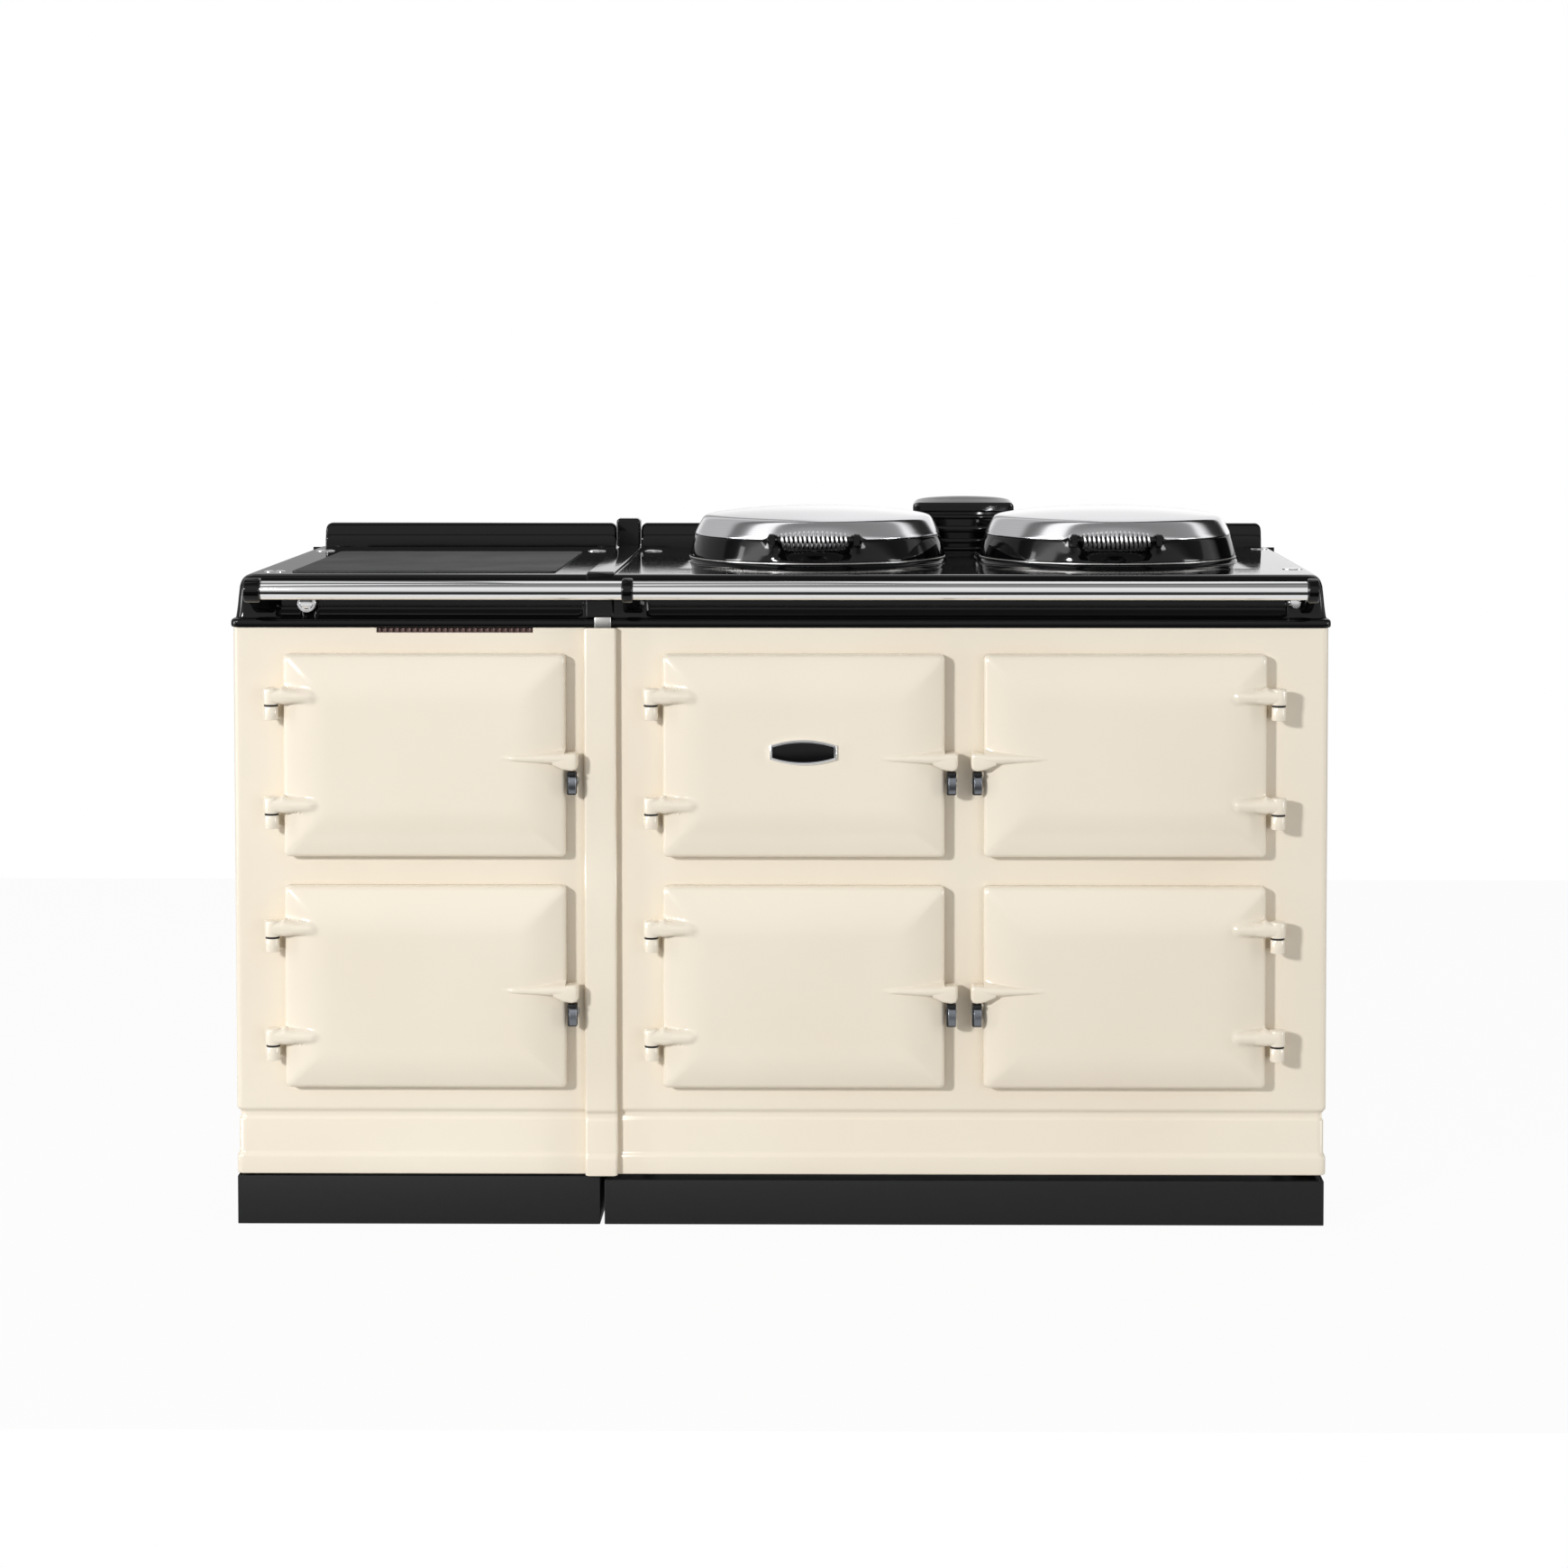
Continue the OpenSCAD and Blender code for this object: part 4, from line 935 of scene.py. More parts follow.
def postPart(x, topZ):
    # an upright barrel with rounded ends, a web back to the plate and a soft flare where they meet
    p = postLook
    r, high = p["radius"], p["high"]
    barrel = lathe([(4.2, 0), (r - 0.9, 0), (r - 0.2, 0.3), (r, 1), (r, high - 1.2), (r - 0.3, high - 0.5),
                    (r - 1, high - 0.1), (4.1, high)], 40)
    barrel = moved(barrel, x, frontY - p["reach"], topZ - high)
    web = slab(7.6, p["reach"] / 2 + 1, 3, roundedEdge(1.2, high - 1.6, 2.2, 4), 5)
    web = moved(web, x, frontY - p["reach"] / 2 + 1, topZ - high)
    flare = slab(12.5, 12, 5, [(0, -1), (0, 0.5), (1.0, 1.5), (2.6, 2.6), (4.2, 4.6), (4.9, 8)], 6)
    return [barrel, web, placed(flare, "front", (x, frontY, topZ - high / 2))]


catchLook = {"out": 198.5, "drop": 20.5, "half": (6.5, 14.4), "face": (21.5, 34.0)}


def catchParts(x, topZ):
    # a dark hooked bracket with a bright rolled keeper plate in front of it
    c = catchLook
    halfW, halfH = c["half"]
    back = slab(halfW, halfH + 1.2, 2.2, roundedEdge(c["face"][0] - 4, c["face"][1] - 5.5, 1.4, 4), 5)
    hook = slab(halfW, 2.6, 1.6, roundedEdge(c["face"][0], c["face"][1], 1.2, 4), 5)
    turn = np.linspace(-1, 1, 15)
    bow = c["face"][1] - 4.6 + 3.4 * (1 - turn ** 2) ** 0.7
    profile = np.column_stack([turn * (halfH - 2.4), bow])
    rows = [np.column_stack([np.full(len(profile), a), profile[:, 0] - 1.6, profile[:, 1] - dip])
            for a, dip in ((-halfW + 2.6, 6), (-halfW + 2.6, 0.5), (-halfW + 3.1, 0), (halfW - 0.8, 0),
                           (halfW - 0.3, 0.5), (halfW - 0.3, 6))]
    keeper = gridPart(np.array(rows))
    stem = lathe([(7.6, -0.5), (7.6, 1.4), (7.0, 2.2), (4.6, 2.6), (4.6, c["face"][0] - 2)], 28)
    at = (x, frontY, topZ - halfH - 1.2)
    parts = [(back, darkIron), (moved(hook, 0, halfH - 1.4, 0), darkIron), (keeper, keeperSteel),
             (stem, stainless)]
    return [(placed(part, "front", at), material) for part, material in parts]


pinLook = {"radius": 4.0, "long": 31.0, "sunk": 13.3, "lidRadius": 5.0, "lidLong": 72.0, "bevel": 0.8,
           "washer": [(4.1, 0), (9.1, 0), (9.4, 0.3), (9.4, 1.9), (9.1, 2.2), (4.1, 2.2)]}


def pinPart(radius, long, steps):
    # a plain rod with a bevel at both ends
    bevel = pinLook["bevel"]
    profile = [(radius - bevel, 0), (radius, bevel), (radius, long - bevel), (radius - bevel, long)]
    return lathe(profile, steps)


posts, catches, pins = [], [], []
doorPin = pinPart(pinLook["radius"], pinLook["long"], 24)
washer = lathe(pinLook["washer"], 32)
for x, z, side in doorSpots.values():
    hingeX = x - side * (doorLook["width"] / 2 + doorLook["axisOut"])
    hingeY = frontY - postLook["reach"]
    for armZ in doorLook["armZ"]:
        top = z + armZ - 11 - postLook["gap"]
        posts += [(part, cream) for part in postPart(hingeX, top)]
        pins.append((moved(doorPin, hingeX, hingeY, top - pinLook["sunk"]), stainless))
        pins.append((moved(washer, hingeX, hingeY, top + 0.1), washerBlackAndSlotShade))
    catches += catchParts(x + side * catchLook["out"], z - catchLook["drop"])
lidPin = pinPart(pinLook["lidRadius"], pinLook["lidLong"], 28)
for x in lidX:
    pins.append((placed(lidPin, "right", (x - pinLook["lidLong"] / 2, lidHingeY, lidHingeZ)), stainless))
makePiece("hingePosts", body, posts, ["hinge_posts"])
makePiece("hingePins", body, pins, ["hinge_pins"])
makePiece("doorCatches", body, catches, ["door_catches"])


sealLook = {"halfA": 162.0, "halfB": 112.0, "corner": 14.0, "radius": 3.6, "strands": 3, "pitch": 13.0,
            "lay": 0.13}


def ropeSealPart(x, z):
    # a rope laid round the oven mouth: radius * (1 + lay * cos(strands * (angle - twist)))
    s = sealLook
    ring = atLevel(roundedRing(s["halfA"], s["halfB"], s["corner"], 10, 150, np.linspace(0, 1, 105)), -2)
    step = np.linalg.norm(np.roll(ring, -1, 0) - ring, axis=1)
    reach = np.cumsum(step) - step
    turns = round(step.sum() / (s["pitch"] * s["strands"]))
    twist = reach[:, None] / step.sum() * 2 * math.pi * turns
    radius = s["radius"] * (1 + s["lay"] * np.cos(s["strands"] * (fullTurn(12) - twist)))
    return placed(tubePart(ring, radius, 12, [0, 0, 1], True), "front", (x, frontY, z))


makePiece("ropeSeals", body, [(ropeSealPart(x, z), rope) for x, z, _ in doorSpots.values()],
          ["door_seals"], 60)


badgeLook = {"x": 32.0, "z": 648.0, "halfW": 45.0, "halfH": 17.0, "bow": 7.5}
badgeRings = {"frame": [(0.4, 34.8), (0, 35.2), (0, 37.6), (0.3, 38.5), (0.9, 39.1), (1.8, 39.3), (2.7, 39.0),
                        (3.2, 38.2)],
              "field": [(3.3, 36), (3.3, 38.0), (3.8, 38.4), (6, 38.6)]}


def badgePart(profile, steps=48):
    # a barrel outline: straight ends and bowed long sides, drawn in by each inset of the profile
    b = badgeLook
    rows = []
    for inset, level in profile:
        w = b["halfW"] - inset
        across = np.linspace(-w, w, steps)
        bow = b["halfH"] - inset - b["bow"] * (across / b["halfW"]) ** 2
        upper = np.column_stack([across[::-1], bow[::-1]])
        lower = np.column_stack([across, -bow])
        ring = np.concatenate([upper, lower])
        rows.append(atLevel(ring, level))
    return placed(loftPart(rows), "front", (b["x"], frontY, b["z"]))


makePiece("badge", "control_door_leaf",
          [(badgePart(badgeRings["frame"]), chrome),
           (badgePart(badgeRings["field"]), badgeBlack)], ["badge"])
print("door hardware made")


rimLook = {"corner": 12.0, "span": 30.0, "recessMidZ": 846.75, "recessHalfZ": 20.75, "recessCorner": 6.0,
           "recessLip": 1.4, "recessDeep": 14.0, "scoop": (826.5, 13.0)}
# The rim's section as [distance outside the body, height], from the level top down to the underside
rimProfile = np.array([
    [-30, 882.5], [-22, 882.5], [-19, 882.3], [-16.5, 881.6], [-14, 880.4], [-12, 878.7], [-10.3, 876.6],
    [-9, 874.3], [-8, 871.6], [-7.2, 868.6], [-6.9, 867.6], [-6.85, 867.2], [-6.8, 866.8], [-6.7, 866],
    [-6.3, 862], [-5.8, 857], [-5.3, 852], [-4.8, 846], [-4.2, 840], [-3.5, 834], [-2.8, 829], [-2.5, 827.2],
    [-2.4, 826.8], [-2.35, 826.4], [-2.2, 825.6], [-1.6, 824.6], [-0.4, 824.1], [1.0, 823.6], [2.2, 822.7],
    [3.0, 821.3], [3.45, 819.5], [3.5, 817.5], [3.5, 815.2], [3.2, 813.6], [2.5, 812.5],
    [1.4, 812.05], [-3, 812], [-12, 812]])


def rimPoints(sign, innerX, recess):
    # each point of the section is carried along the outer side, round the corner and along the front
    look = rimLook
    r = look["corner"]
    turn = quarterTurn(10)
    near = np.array([-1.6, -1.0, -0.5, 0, 0.5, 1.0, 1.6, 3, 5, 7])
    inner = [innerX, innerX + sign * 0.6, innerX + sign * 3]
    middle = np.linspace(recess[0] + 20, recess[1] - 20, 12)
    fixed = np.unique(np.concatenate([recess[0] + near, recess[1] - near, inner, middle]))[::sign * -1]
    rows = []
    for out, z in rimProfile:
        sideX = halfW + out
        back = np.column_stack([np.full(4, sideX), [backY, backY - 1, 200, 0]])
        arc = np.column_stack([sideX - r + r * np.cos(turn), frontY - out + r - r * np.sin(turn)])
        front = np.column_stack([fixed * sign, np.full(len(fixed), frontY - out)])
        rows.append(atLevel(np.concatenate([back, arc, front]) * [sign, 1], z))
    return np.array(rows)


def rimPart(sign, innerX, recess):
    # the front is pushed in to recessDeep inside a rounded rectangle, whose foot is scooped as a quarter sine
    look = rimLook
    points = rimPoints(sign, innerX, recess)
    corner = look["recessCorner"]
    px = abs(points[..., 0] - (recess[0] + recess[1]) / 2) - ((recess[1] - recess[0]) / 2 - corner)
    pz = abs(points[..., 2] - look["recessMidZ"]) - (look["recessHalfZ"] - corner)
    distance = np.hypot(np.maximum(px, 0), np.maximum(pz, 0)) + np.minimum(np.maximum(px, pz), 0) - corner
    deep = np.clip(0.5 - distance / look["recessLip"], 0, 1)
    deep = deep * deep * (3 - 2 * deep) * (points[..., 1] < frontY + 25)
    scoop = np.clip((points[..., 2] - look["scoop"][0]) / look["scoop"][1], 0, 1)
    wall = frontY + 4 + (look["recessDeep"] - 4) * np.sin(scoop * math.pi / 2)
    points[..., 1] += deep * (wall - points[..., 1])
    part = gridPart(points)
    return part if sign < 0 else flipped(part)


holeLook = {"half": 190.0, "thick": 8.0}
# Rings round a hotplate as [radius, height above the hob]: a low raised seat, then the well
holeRings = [(189, 0), (186.5, 0.5), (185, 2.2), (184.5, 3.6), (183.9, 4), (164, 4), (162, 3.4), (161, 2),
             (161, -20), (161, -24), (150, -24), (150, -32)]


def cornerPart(sign):
    # the level top's outer edge, from the back round the front corner
    r = rimLook["corner"]
    sideX, frontEdge = halfW - rimLook["span"], frontY + rimLook["span"]
    turn = quarterTurn(10)
    outer = np.column_stack([np.concatenate([np.full(4, sideX), sideX - r + r * np.cos(turn)]),
                             np.concatenate([[backY, backY - 1, 200, 0], frontEdge + r - r * np.sin(turn)])])
    inner = outer.copy()
    inner[:, 0] = sideX - r
    part = gridPart(np.array([atLevel(edge, hobZ) for edge in (outer, inner)]) * [sign, 1, 1])
    return flipped(part) if sign > 0 else part


def holePart(x):
    # a patch from a square to a circle round a hotplate, then the seat and the well below it
    angle = fullTurn(96)
    square = holeLook["half"] / np.maximum(abs(np.cos(angle)), abs(np.sin(angle)))
    rows = []
    for radius, rise in [(square, 0)] + holeRings:
        circle = np.column_stack([x + radius * np.cos(angle), lidY + radius * np.sin(angle)])
        rows.append(atLevel(circle, hobZ + rise))
    return gridPart(np.array(rows), True)


def flatTopParts(sign, innerX, holes):
    # the level top inside the rolled rim, with a square left out round each hotplate for its own part
    half = holeLook["half"]
    frontEdge = frontY + rimLook["span"]
    ends = [innerX, sign * (halfW - rimLook["span"] - rimLook["corner"])]
    columns = np.unique(ends + [x + side * half for x in holes for side in (-1, 1)])
    rows = np.unique([frontEdge, backY] + [lidY + side * half for x in holes for side in (-1, 1)])

    def keep(a, b):
        kept = np.ones(a.shape, bool)
        for x in holes:
            kept &= ~((abs(a - x) < half) & (abs(b - lidY) < half))
        return kept

    level = panelPart(columns, rows, flatLevel(hobZ), flatLevel(hobZ - holeLook["thick"]), keep)
    return [cornerPart(sign), level] + [holePart(x) for x in holes]


topPlates = {
    "topPlateLeft": (-1, splitX - 2, (-680, -266), [], "top_plate_left"),
    "topPlateMain": (1, splitX + 2, (-180, 682), lidX, "top_plate_main"),
}
for plateName, (sign, innerX, recess, holes, node) in topPlates.items():
    low, high = sorted([innerX, sign * (halfW - 4)])
    rear = panelPart([-high, -low], [plateTopZ + 1, hobZ - 1], flatLevel(0), flatLevel(-3))
    parts = [rimPart(sign, innerX, recess), placed(rear, "back", (0, backY, 0))]
    parts += flatTopParts(sign, innerX, holes)
    makePiece(plateName, body, [(part, black) for part in parts], [node], 36)


stripLook = {"half": 19.0, "thick": 3.5, "roll": 3.0, "post": (18, 22, 28), "postX": -250}


def jointStripPart():
    # a flat bar with rounded edges carried from the back over the nose and down the front
    s = stripLook
    path = np.array([[backY - 27, hobZ], [100, hobZ], [frontY + 30, hobZ]]
                    + [[frontY - out, z] for out, z in rimProfile[2:22]], float)
    tangent = unit(np.gradient(path, axis=0))
    normal = np.column_stack([tangent[:, 1], -tangent[:, 0]])
    turn = quarterTurn(5)
    edge = np.column_stack([s["half"] - s["roll"] * (1 - np.cos(turn)),
                            s["thick"] - s["roll"] * (1 - np.sin(turn))])
    outline = np.concatenate([[[s["half"], -1.5]], edge, edge[::-1] * [-1, 1], [[-s["half"], -1.5]]])
    along = path[:, None] + normal[:, None] * outline[None, :, 1:]
    across = np.broadcast_to(splitX + outline[None, :, :1], along.shape[:2] + (1,))
    return loftPart(np.concatenate([across, along], -1)[:, ::-1])


def rearPostPart():
    # a rounded block on the hob behind the strip
    halfA, halfB, deep = stripLook["post"]
    post = slab(halfA, halfB, 6, roundedEdge(0, deep, 2.6, 5), 7)
    return placed(post, "back", (stripLook["postX"], backY - deep, hobZ + halfB))


makePiece("jointStrip", body, [(jointStripPart(), black), (rearPostPart(), black)],
          ["joint_strip"])
upstandLook = {"high": 36.5, "round": 9.0, "spans": ((-712, -269), (-231, 712))}


def upstandPart(x0, x1):
    # the cross-section of the splash rail, drawn in towards each end
    section = np.array([[-23.5, 0], [-23.3, 8], [-23, 14], [-22.3, 17], [-21, 19.2], [-20.4, 20.5],
                        [-19.6, 26], [-18.5, 31], [-17.6, 33.5], [-16, 35.4], [-14, 36.3], [-11, 36.5],
                        [-1.5, 36.5], [-0.5, 36.1], [0, 35], [0, 0]])
    high, r = upstandLook["high"], upstandLook["round"]
    ends = np.array([0, 0.6, 1.8, 3.6, 6, r])
    drop = r - np.sqrt(np.maximum(r * r - (r - ends) ** 2, 0))
    stations = np.concatenate([x0 + ends, x1 - ends[::-1]])
    drops = np.concatenate([drop, drop[::-1]])
    draws = np.concatenate([[1.2, 0.5, 0, 0, 0, 0], [0, 0, 0, 0, 0.5, 1.2]])
    rows = []
    for x, less, draw in zip(stations, drops, draws):
        y = backY + section[:, 0] + draw * (section[:, 0] < -10)
        z = hobZ + section[:, 1] * (high - less) / high
        rows.append(np.column_stack([np.full(len(section), x), y, z]))
    return loftPart(np.array(rows)[:, ::-1])


makePiece("upstands", body, [(upstandPart(*span), black) for span in upstandLook["spans"]],
          ["upstands"])


ventLook = {"x": 258.0, "y": 275.5, "capZ": 940.0, "capHalf": 75.5, "capDeep": 26.0, "capWall": 14.4,
            "capRise": 8.0, "neck": (63, 16.5), "neckZ": (882, 941), "fin": (71, 22),
            "fins": ((882, 887.5), (892.5, 900), (909, 919), (929, 936))}


def ventParts():
    # a narrow neck inside a stack of rounded slabs
    v = ventLook
    stack = [slab(*v["neck"], 5, [(0, z) for z in v["neckZ"]], 5)]
    stack += [slab(*v["fin"], 8, roundedEdge(low, high, 1.8, 4), 7) for low, high in v["fins"]]
    return [moved(part, v["x"], v["y"], 0) for part in stack]


def ventCapPart():
    # a wall whose top rounds down at both ends, then a roof that climbs from the front and is arched across
    v = ventLook
    half, deep, wall = v["capHalf"], v["capDeep"], v["capWall"]
    steps = [(4, 0), (0.9, 0), (0.2, 0.3), (0, 0.9), (0, 3), (0, 9), (0, wall - 1.2), (0.15, wall - 0.5),
             (0.5, wall - 0.1)]
    steps += [(inset, wall) for inset in (1.1, 2, 4, 7, 11, 15, 19, 22.5, 25)]
    rows = []
    for inset, z in steps:
        ring = roundedRing(half - inset, deep - inset, max(9.5 - inset, 0.6), 7, 36, np.linspace(0, 1, 15))
        depth = np.clip((ring[:, 1] + deep - 1) / (2 * deep - 8), 0, 1)
        rear = np.clip((deep - ring[:, 1]) / 6, 0, 1) ** 0.5
        climb = v["capRise"] * np.minimum(depth * 1.05, 1) ** 0.9 * rear
        share = abs(ring[:, 0] / half)
        endShare = np.clip((abs(ring[:, 0]) - half + 8) / 8, 0, 1)
        end = 7 * (1 - np.sqrt(1 - endShare ** 2)) * min(z / wall, 1)
        roof = climb * (1 - 0.5 * share ** 8 - 0.5 * share ** 2) * min(max(inset - 0.5, 0) / 0.6, 1)
        rows.append(np.column_stack([ring + [v["x"], v["y"]], z - end + roof + v["capZ"]]))
    return loftPart(rows)


makePiece("ventBody", body, [(part, black) for part in ventParts()], ["vent_body"])
makePiece("ventCap", body, [(ventCapPart(), black)], ["vent_cap"])


warmLook = {"at": (-488, frontY + 260.5, 0), "half": (180, 205.5), "corner": 7,
            "profile": [(0.4, 877.5), (0, 878), (0, 883.2), (0.4, 884.1), (1.3, 884.5), (4, 884.5)]}
warmPlate = moved(slab(*warmLook["half"], warmLook["corner"], warmLook["profile"], 6), *warmLook["at"])
makePiece("warmingPlate", body, [(warmPlate, warmIron)], ["warming_plate"])

# Caps on the hob: the places as [x, distance from the front], and the profile as [radius, height]
capLook = {"spots": [(-693, 67), (-696, 500), (-290, 500), (-206, 500), (704, 130), (704, 560)],
           "profile": [(14, 0), (14, 0.5), (13.5, 1.0), (12.6, 1.2), (11.7, 1.0), (11.0, 0.6), (9, 0.5),
                       (1, 0.5)]}
cap = lathe(capLook["profile"], 40)
caps = [(moved(cap, x, frontY + depth, hobZ), chrome) for x, depth in capLook["spots"]]
makePiece("plateCaps", body, caps, ["plate_caps"])

hotplateLook = {"radius": 158, "top": 3.5, "lines": 4, "linePitch": 0.9}


def hotplatePart(x):
    # a thick disc with fine turned lines inside its rounded rim
    h = hotplateLook
    r, top = h["radius"], h["top"]
    lines = [(r - k * h["linePitch"], top - 0.12 * (k % 2)) for k in range(2, 2 + h["lines"])]
    profile = [(r, -24), (r, 1.8), (r - 0.5, 3), (r - 1.5, top)] + lines + [(20, top), (19, 3.3), (1, 3.3)]
    return moved(lathe(profile, 96), x, lidY, hobZ)


for i, label in enumerate(("Boiling", "Simmering")):
    makePiece("hotplate" + label, body, [(hotplatePart(lidX[i]), turned[i])], ["hotplates"])
print("hob made")


railLook = {"spans": ((-692, -204), (-197, 705)), "boss": 16.5, "bossRoll": 3.0, "bossCore": 10,
            "armDeep": 72, "brackets": ((-710, -688, -710, -674), (-208, -193, -215, -176),
                                        (701, 716, 697, 716))}


def railPart(x0, x1):
    # a round bar whose ends are rounded over
    end = [(9.6, 0.0), (11.2, 0.5), (12.1, 1.4), (12.5, 2.6)]
    profile = end + [(radius, x1 - x0 - level) for radius, level in end[::-1]]
    return placed(lathe(profile, 72), "right", (x0, railY, railZ))


makePiece("handrails", body, [(railPart(*span), chrome) for span in railLook["spans"]],
          ["handrails"])


def bracketParts(x0, x1, foot0, foot1):
    # a rounded boss on the rail, an arm that deepens back to the rim, and a splayed foot
    mid, half = (x0 + x1) / 2, (x1 - x0) / 2
    r, roll, core = railLook["boss"], railLook["bossRoll"], railLook["bossCore"]
    turn = quarterTurn(5)
    lower = [(r - roll * (1 - math.sin(t)), -half + roll * (1 - math.cos(t))) for t in turn]
    upper = [(r - roll * (1 - math.cos(t)), half - roll * (1 - math.sin(t))) for t in turn]
    boss = placed(lathe([(core, -half)] + lower + upper + [(core, half)], 56), "right", (mid, railY, railZ))
    stations = []
    for share in np.linspace(0, 1, 14):
        ease = share * share * (3 - 2 * share)
        top = railZ + 15.5 - ease * 15 - 2 * math.sin(share * math.pi)
        low = railZ - 15 - ease * 21
        widen = max(0.0, (share - 0.62) / 0.38) ** 1.6
        left = x0 + 0.6 - (x0 - foot0) * widen
        right = x1 - 0.6 + (foot1 - x1) * widen
        ring = roundedRing((right - left) / 2, (top - low) / 2, 4.5, 6)
        ring += [(left + right) / 2, (top + low) / 2]
        stations.append(np.insert(ring, 1, railY + share * railLook["armDeep"], axis=1))
    return [boss, loftPart(np.array(stations)[:, ::-1])]


brackets = [(part, black) for ends in railLook["brackets"] for part in bracketParts(*ends)]
makePiece("railBrackets", body, brackets, ["rail_brackets"])
print("handrails made")


lidLook = {"radius": 183.5, "seamR": 175.6, "crown": 39.5, "gripX": 58.5, "gripY": -203.0, "gripZ": 923.0,
           "coilTurns": 15, "coilEnd": 7.4, "coilMid": 11.0, "wire": 1.6, "coilHalf": 47.0, "seamZ": 920,
           "seat": (182.9, 888.2, 1.45), "rodLong": 127.0}


def domeProfile():
    # a rolled lower lip, a wall that leans in more and more with height, and a nearly flat crown
    level = np.array([2.2, 6, 10, 14, 18, 21, 23, 24.4, 25.4, 26.3, 27.1, 27.8, 28.4, 28.9, 29.3])
    lean = np.interp(level, [2, 10, 18, 22.5, 24.4, 26.3, 27.8, 29.3], [24, 26, 29, 33, 43, 58, 70, 80])
    run = np.concatenate([[0], np.cumsum(np.diff(level) * np.tan(np.radians((lean[1:] + lean[:-1]) / 2)))])
    wall = np.column_stack([lidLook["seamR"] - run, level])
    last, rise = wall[-1, 0], lidLook["crown"] - level[-1]
    shares = (0.9, 0.78, 0.62, 0.45, 0.28, 0.12, 0.01)
    crown = [(last * s, lidLook["crown"] - rise * s ** 2.4) for s in shares]
    lip = [(lidLook["seamR"] - 1.8, 0.2), (lidLook["seamR"] - 0.7, 0), (lidLook["seamR"], 0.5),
           (lidLook["seamR"] + 0.1, 1.3)]
    return lip + wall.tolist() + crown


def domePart(x):
    # the profile turned about the lid's centre, with a rolled-in underside
    under = [(140, 30.0), (162, 20), (170, 10), (lidLook["seamR"] - 3, 0.5)]
    return moved(lathe(under + domeProfile(), 160), x, lidY, lidLook["seamZ"])


# The skirt's section as [radius, height] from the inside of its foot to the seam under the dome
skirtSection = [(150, 888.5), (160, 888), (180.6, 887.6), (182.4, 887.9), (183.3, 888.8), (183.5, 890.4),
                (183.0, 893.5), (182.0, 898), (180.7, 903), (179.4, 908), (178.1, 912.5), (177.0, 916),
                (176.2, 918.6), (175.6, 919.6), (174.4, 920), (165, 920), (150, 920)]


def lidSkirtPart():
    # rings of the skirt's section, scooped by 12 mm under the grip and swelling into a rib below each arm
    gripX = lidLook["gripX"]
    angle = fullTurn(288)
    rows = []
    for radius, z in skirtSection:
        ring = atLevel(np.column_stack([radius * np.cos(angle), radius * np.sin(angle)]), z)
        if radius > 170:
            across = abs(ring[:, 0])
            front = ring[:, 1] < 0
            scoop = np.clip(1 - across / 62, 0, 1)
            low = math.sin(math.pi * min(max((919 - z) / 28, 0), 1))
            ring[:, 1] += 12 * scoop * scoop * (3 - 2 * scoop) * front * low
            rise = np.clip((z - 898) / 20, 0, 1)
            swell = np.exp(-((across - gripX) / np.where(across > gripX, 11, 6)) ** 2) * front
            ring[:, 1] -= (6 * swell + 2 * swell ** 3) * rise
            ring[:, 2] += 6.5 * swell * rise ** 3
        rows.append(ring)
    return loftPart(rows)


def gripArmParts(sign):
    # an arm that flares out of the skirt, a collar round the rod inside it and a nut outside it
    k = lidLook
    stations = []
    for share in np.linspace(0, 1, 22):
        y = -158 + share * (k["gripY"] - 6.5 + 158)
        flare = 3 * (1 - share) ** 3
        end = max(0.0, share - 0.9) / 0.1
        high = k["gripZ"] + 8.6 - 1.4 * end ** 2 - 5.5 * (1 - share) ** 2
        low = k["gripZ"] - 8.8 + 1.6 * end ** 2 - 8 * (1 - share) ** 2
        ring = roundedRing(5.1 + flare / 2 - 0.9 * end ** 2, (high - low) / 2, 3.4, 6)
        ring += [sign * (k["gripX"] + flare / 2), (high + low) / 2]
        stations.append(np.insert(ring, 1, y, axis=1))
    collar = lathe([(5.5, 0), (6.6, 0), (7.0, 0.4), (7.0, 1.8), (6.6, 2.2), (5.4, 2.2), (5.4, 3.4), (1, 3.4)],
                   32)
    nut = lathe([(5.6, -1), (5.6, 0.6), (5.1, 1.2), (2.4, 1.6), (0.4, 1.6)], 6)
    return [loftPart(stations),
            placed(collar, sideWay[-sign], (sign * (k["gripX"] - 5.2), k["gripY"], k["gripZ"])),
            placed(nut, sideWay[sign], (sign * (k["gripX"] + 5.0), k["gripY"], k["gripZ"]))]


def lidBaseParts(x):
    # the black casting: the skirt, its two arms, and a lug with a barrel round the hinge pin
    reach = lidHingeY - lidY
    lug = moved(slab(20, 13, 3, roundedEdge(891, 908, 2, 4), 4), 0, reach - 13, 0)
    barrel = placed(lathe([(8.8, -20), (10, -18.8), (10, 18.8), (8.8, 20)], 36), "right",
                    (0, reach, lidHingeZ))
    parts = [lidSkirtPart()] + gripArmParts(-1) + gripArmParts(1) + [lug, barrel]
    return [moved(part, x, lidY, 0) for part in parts]


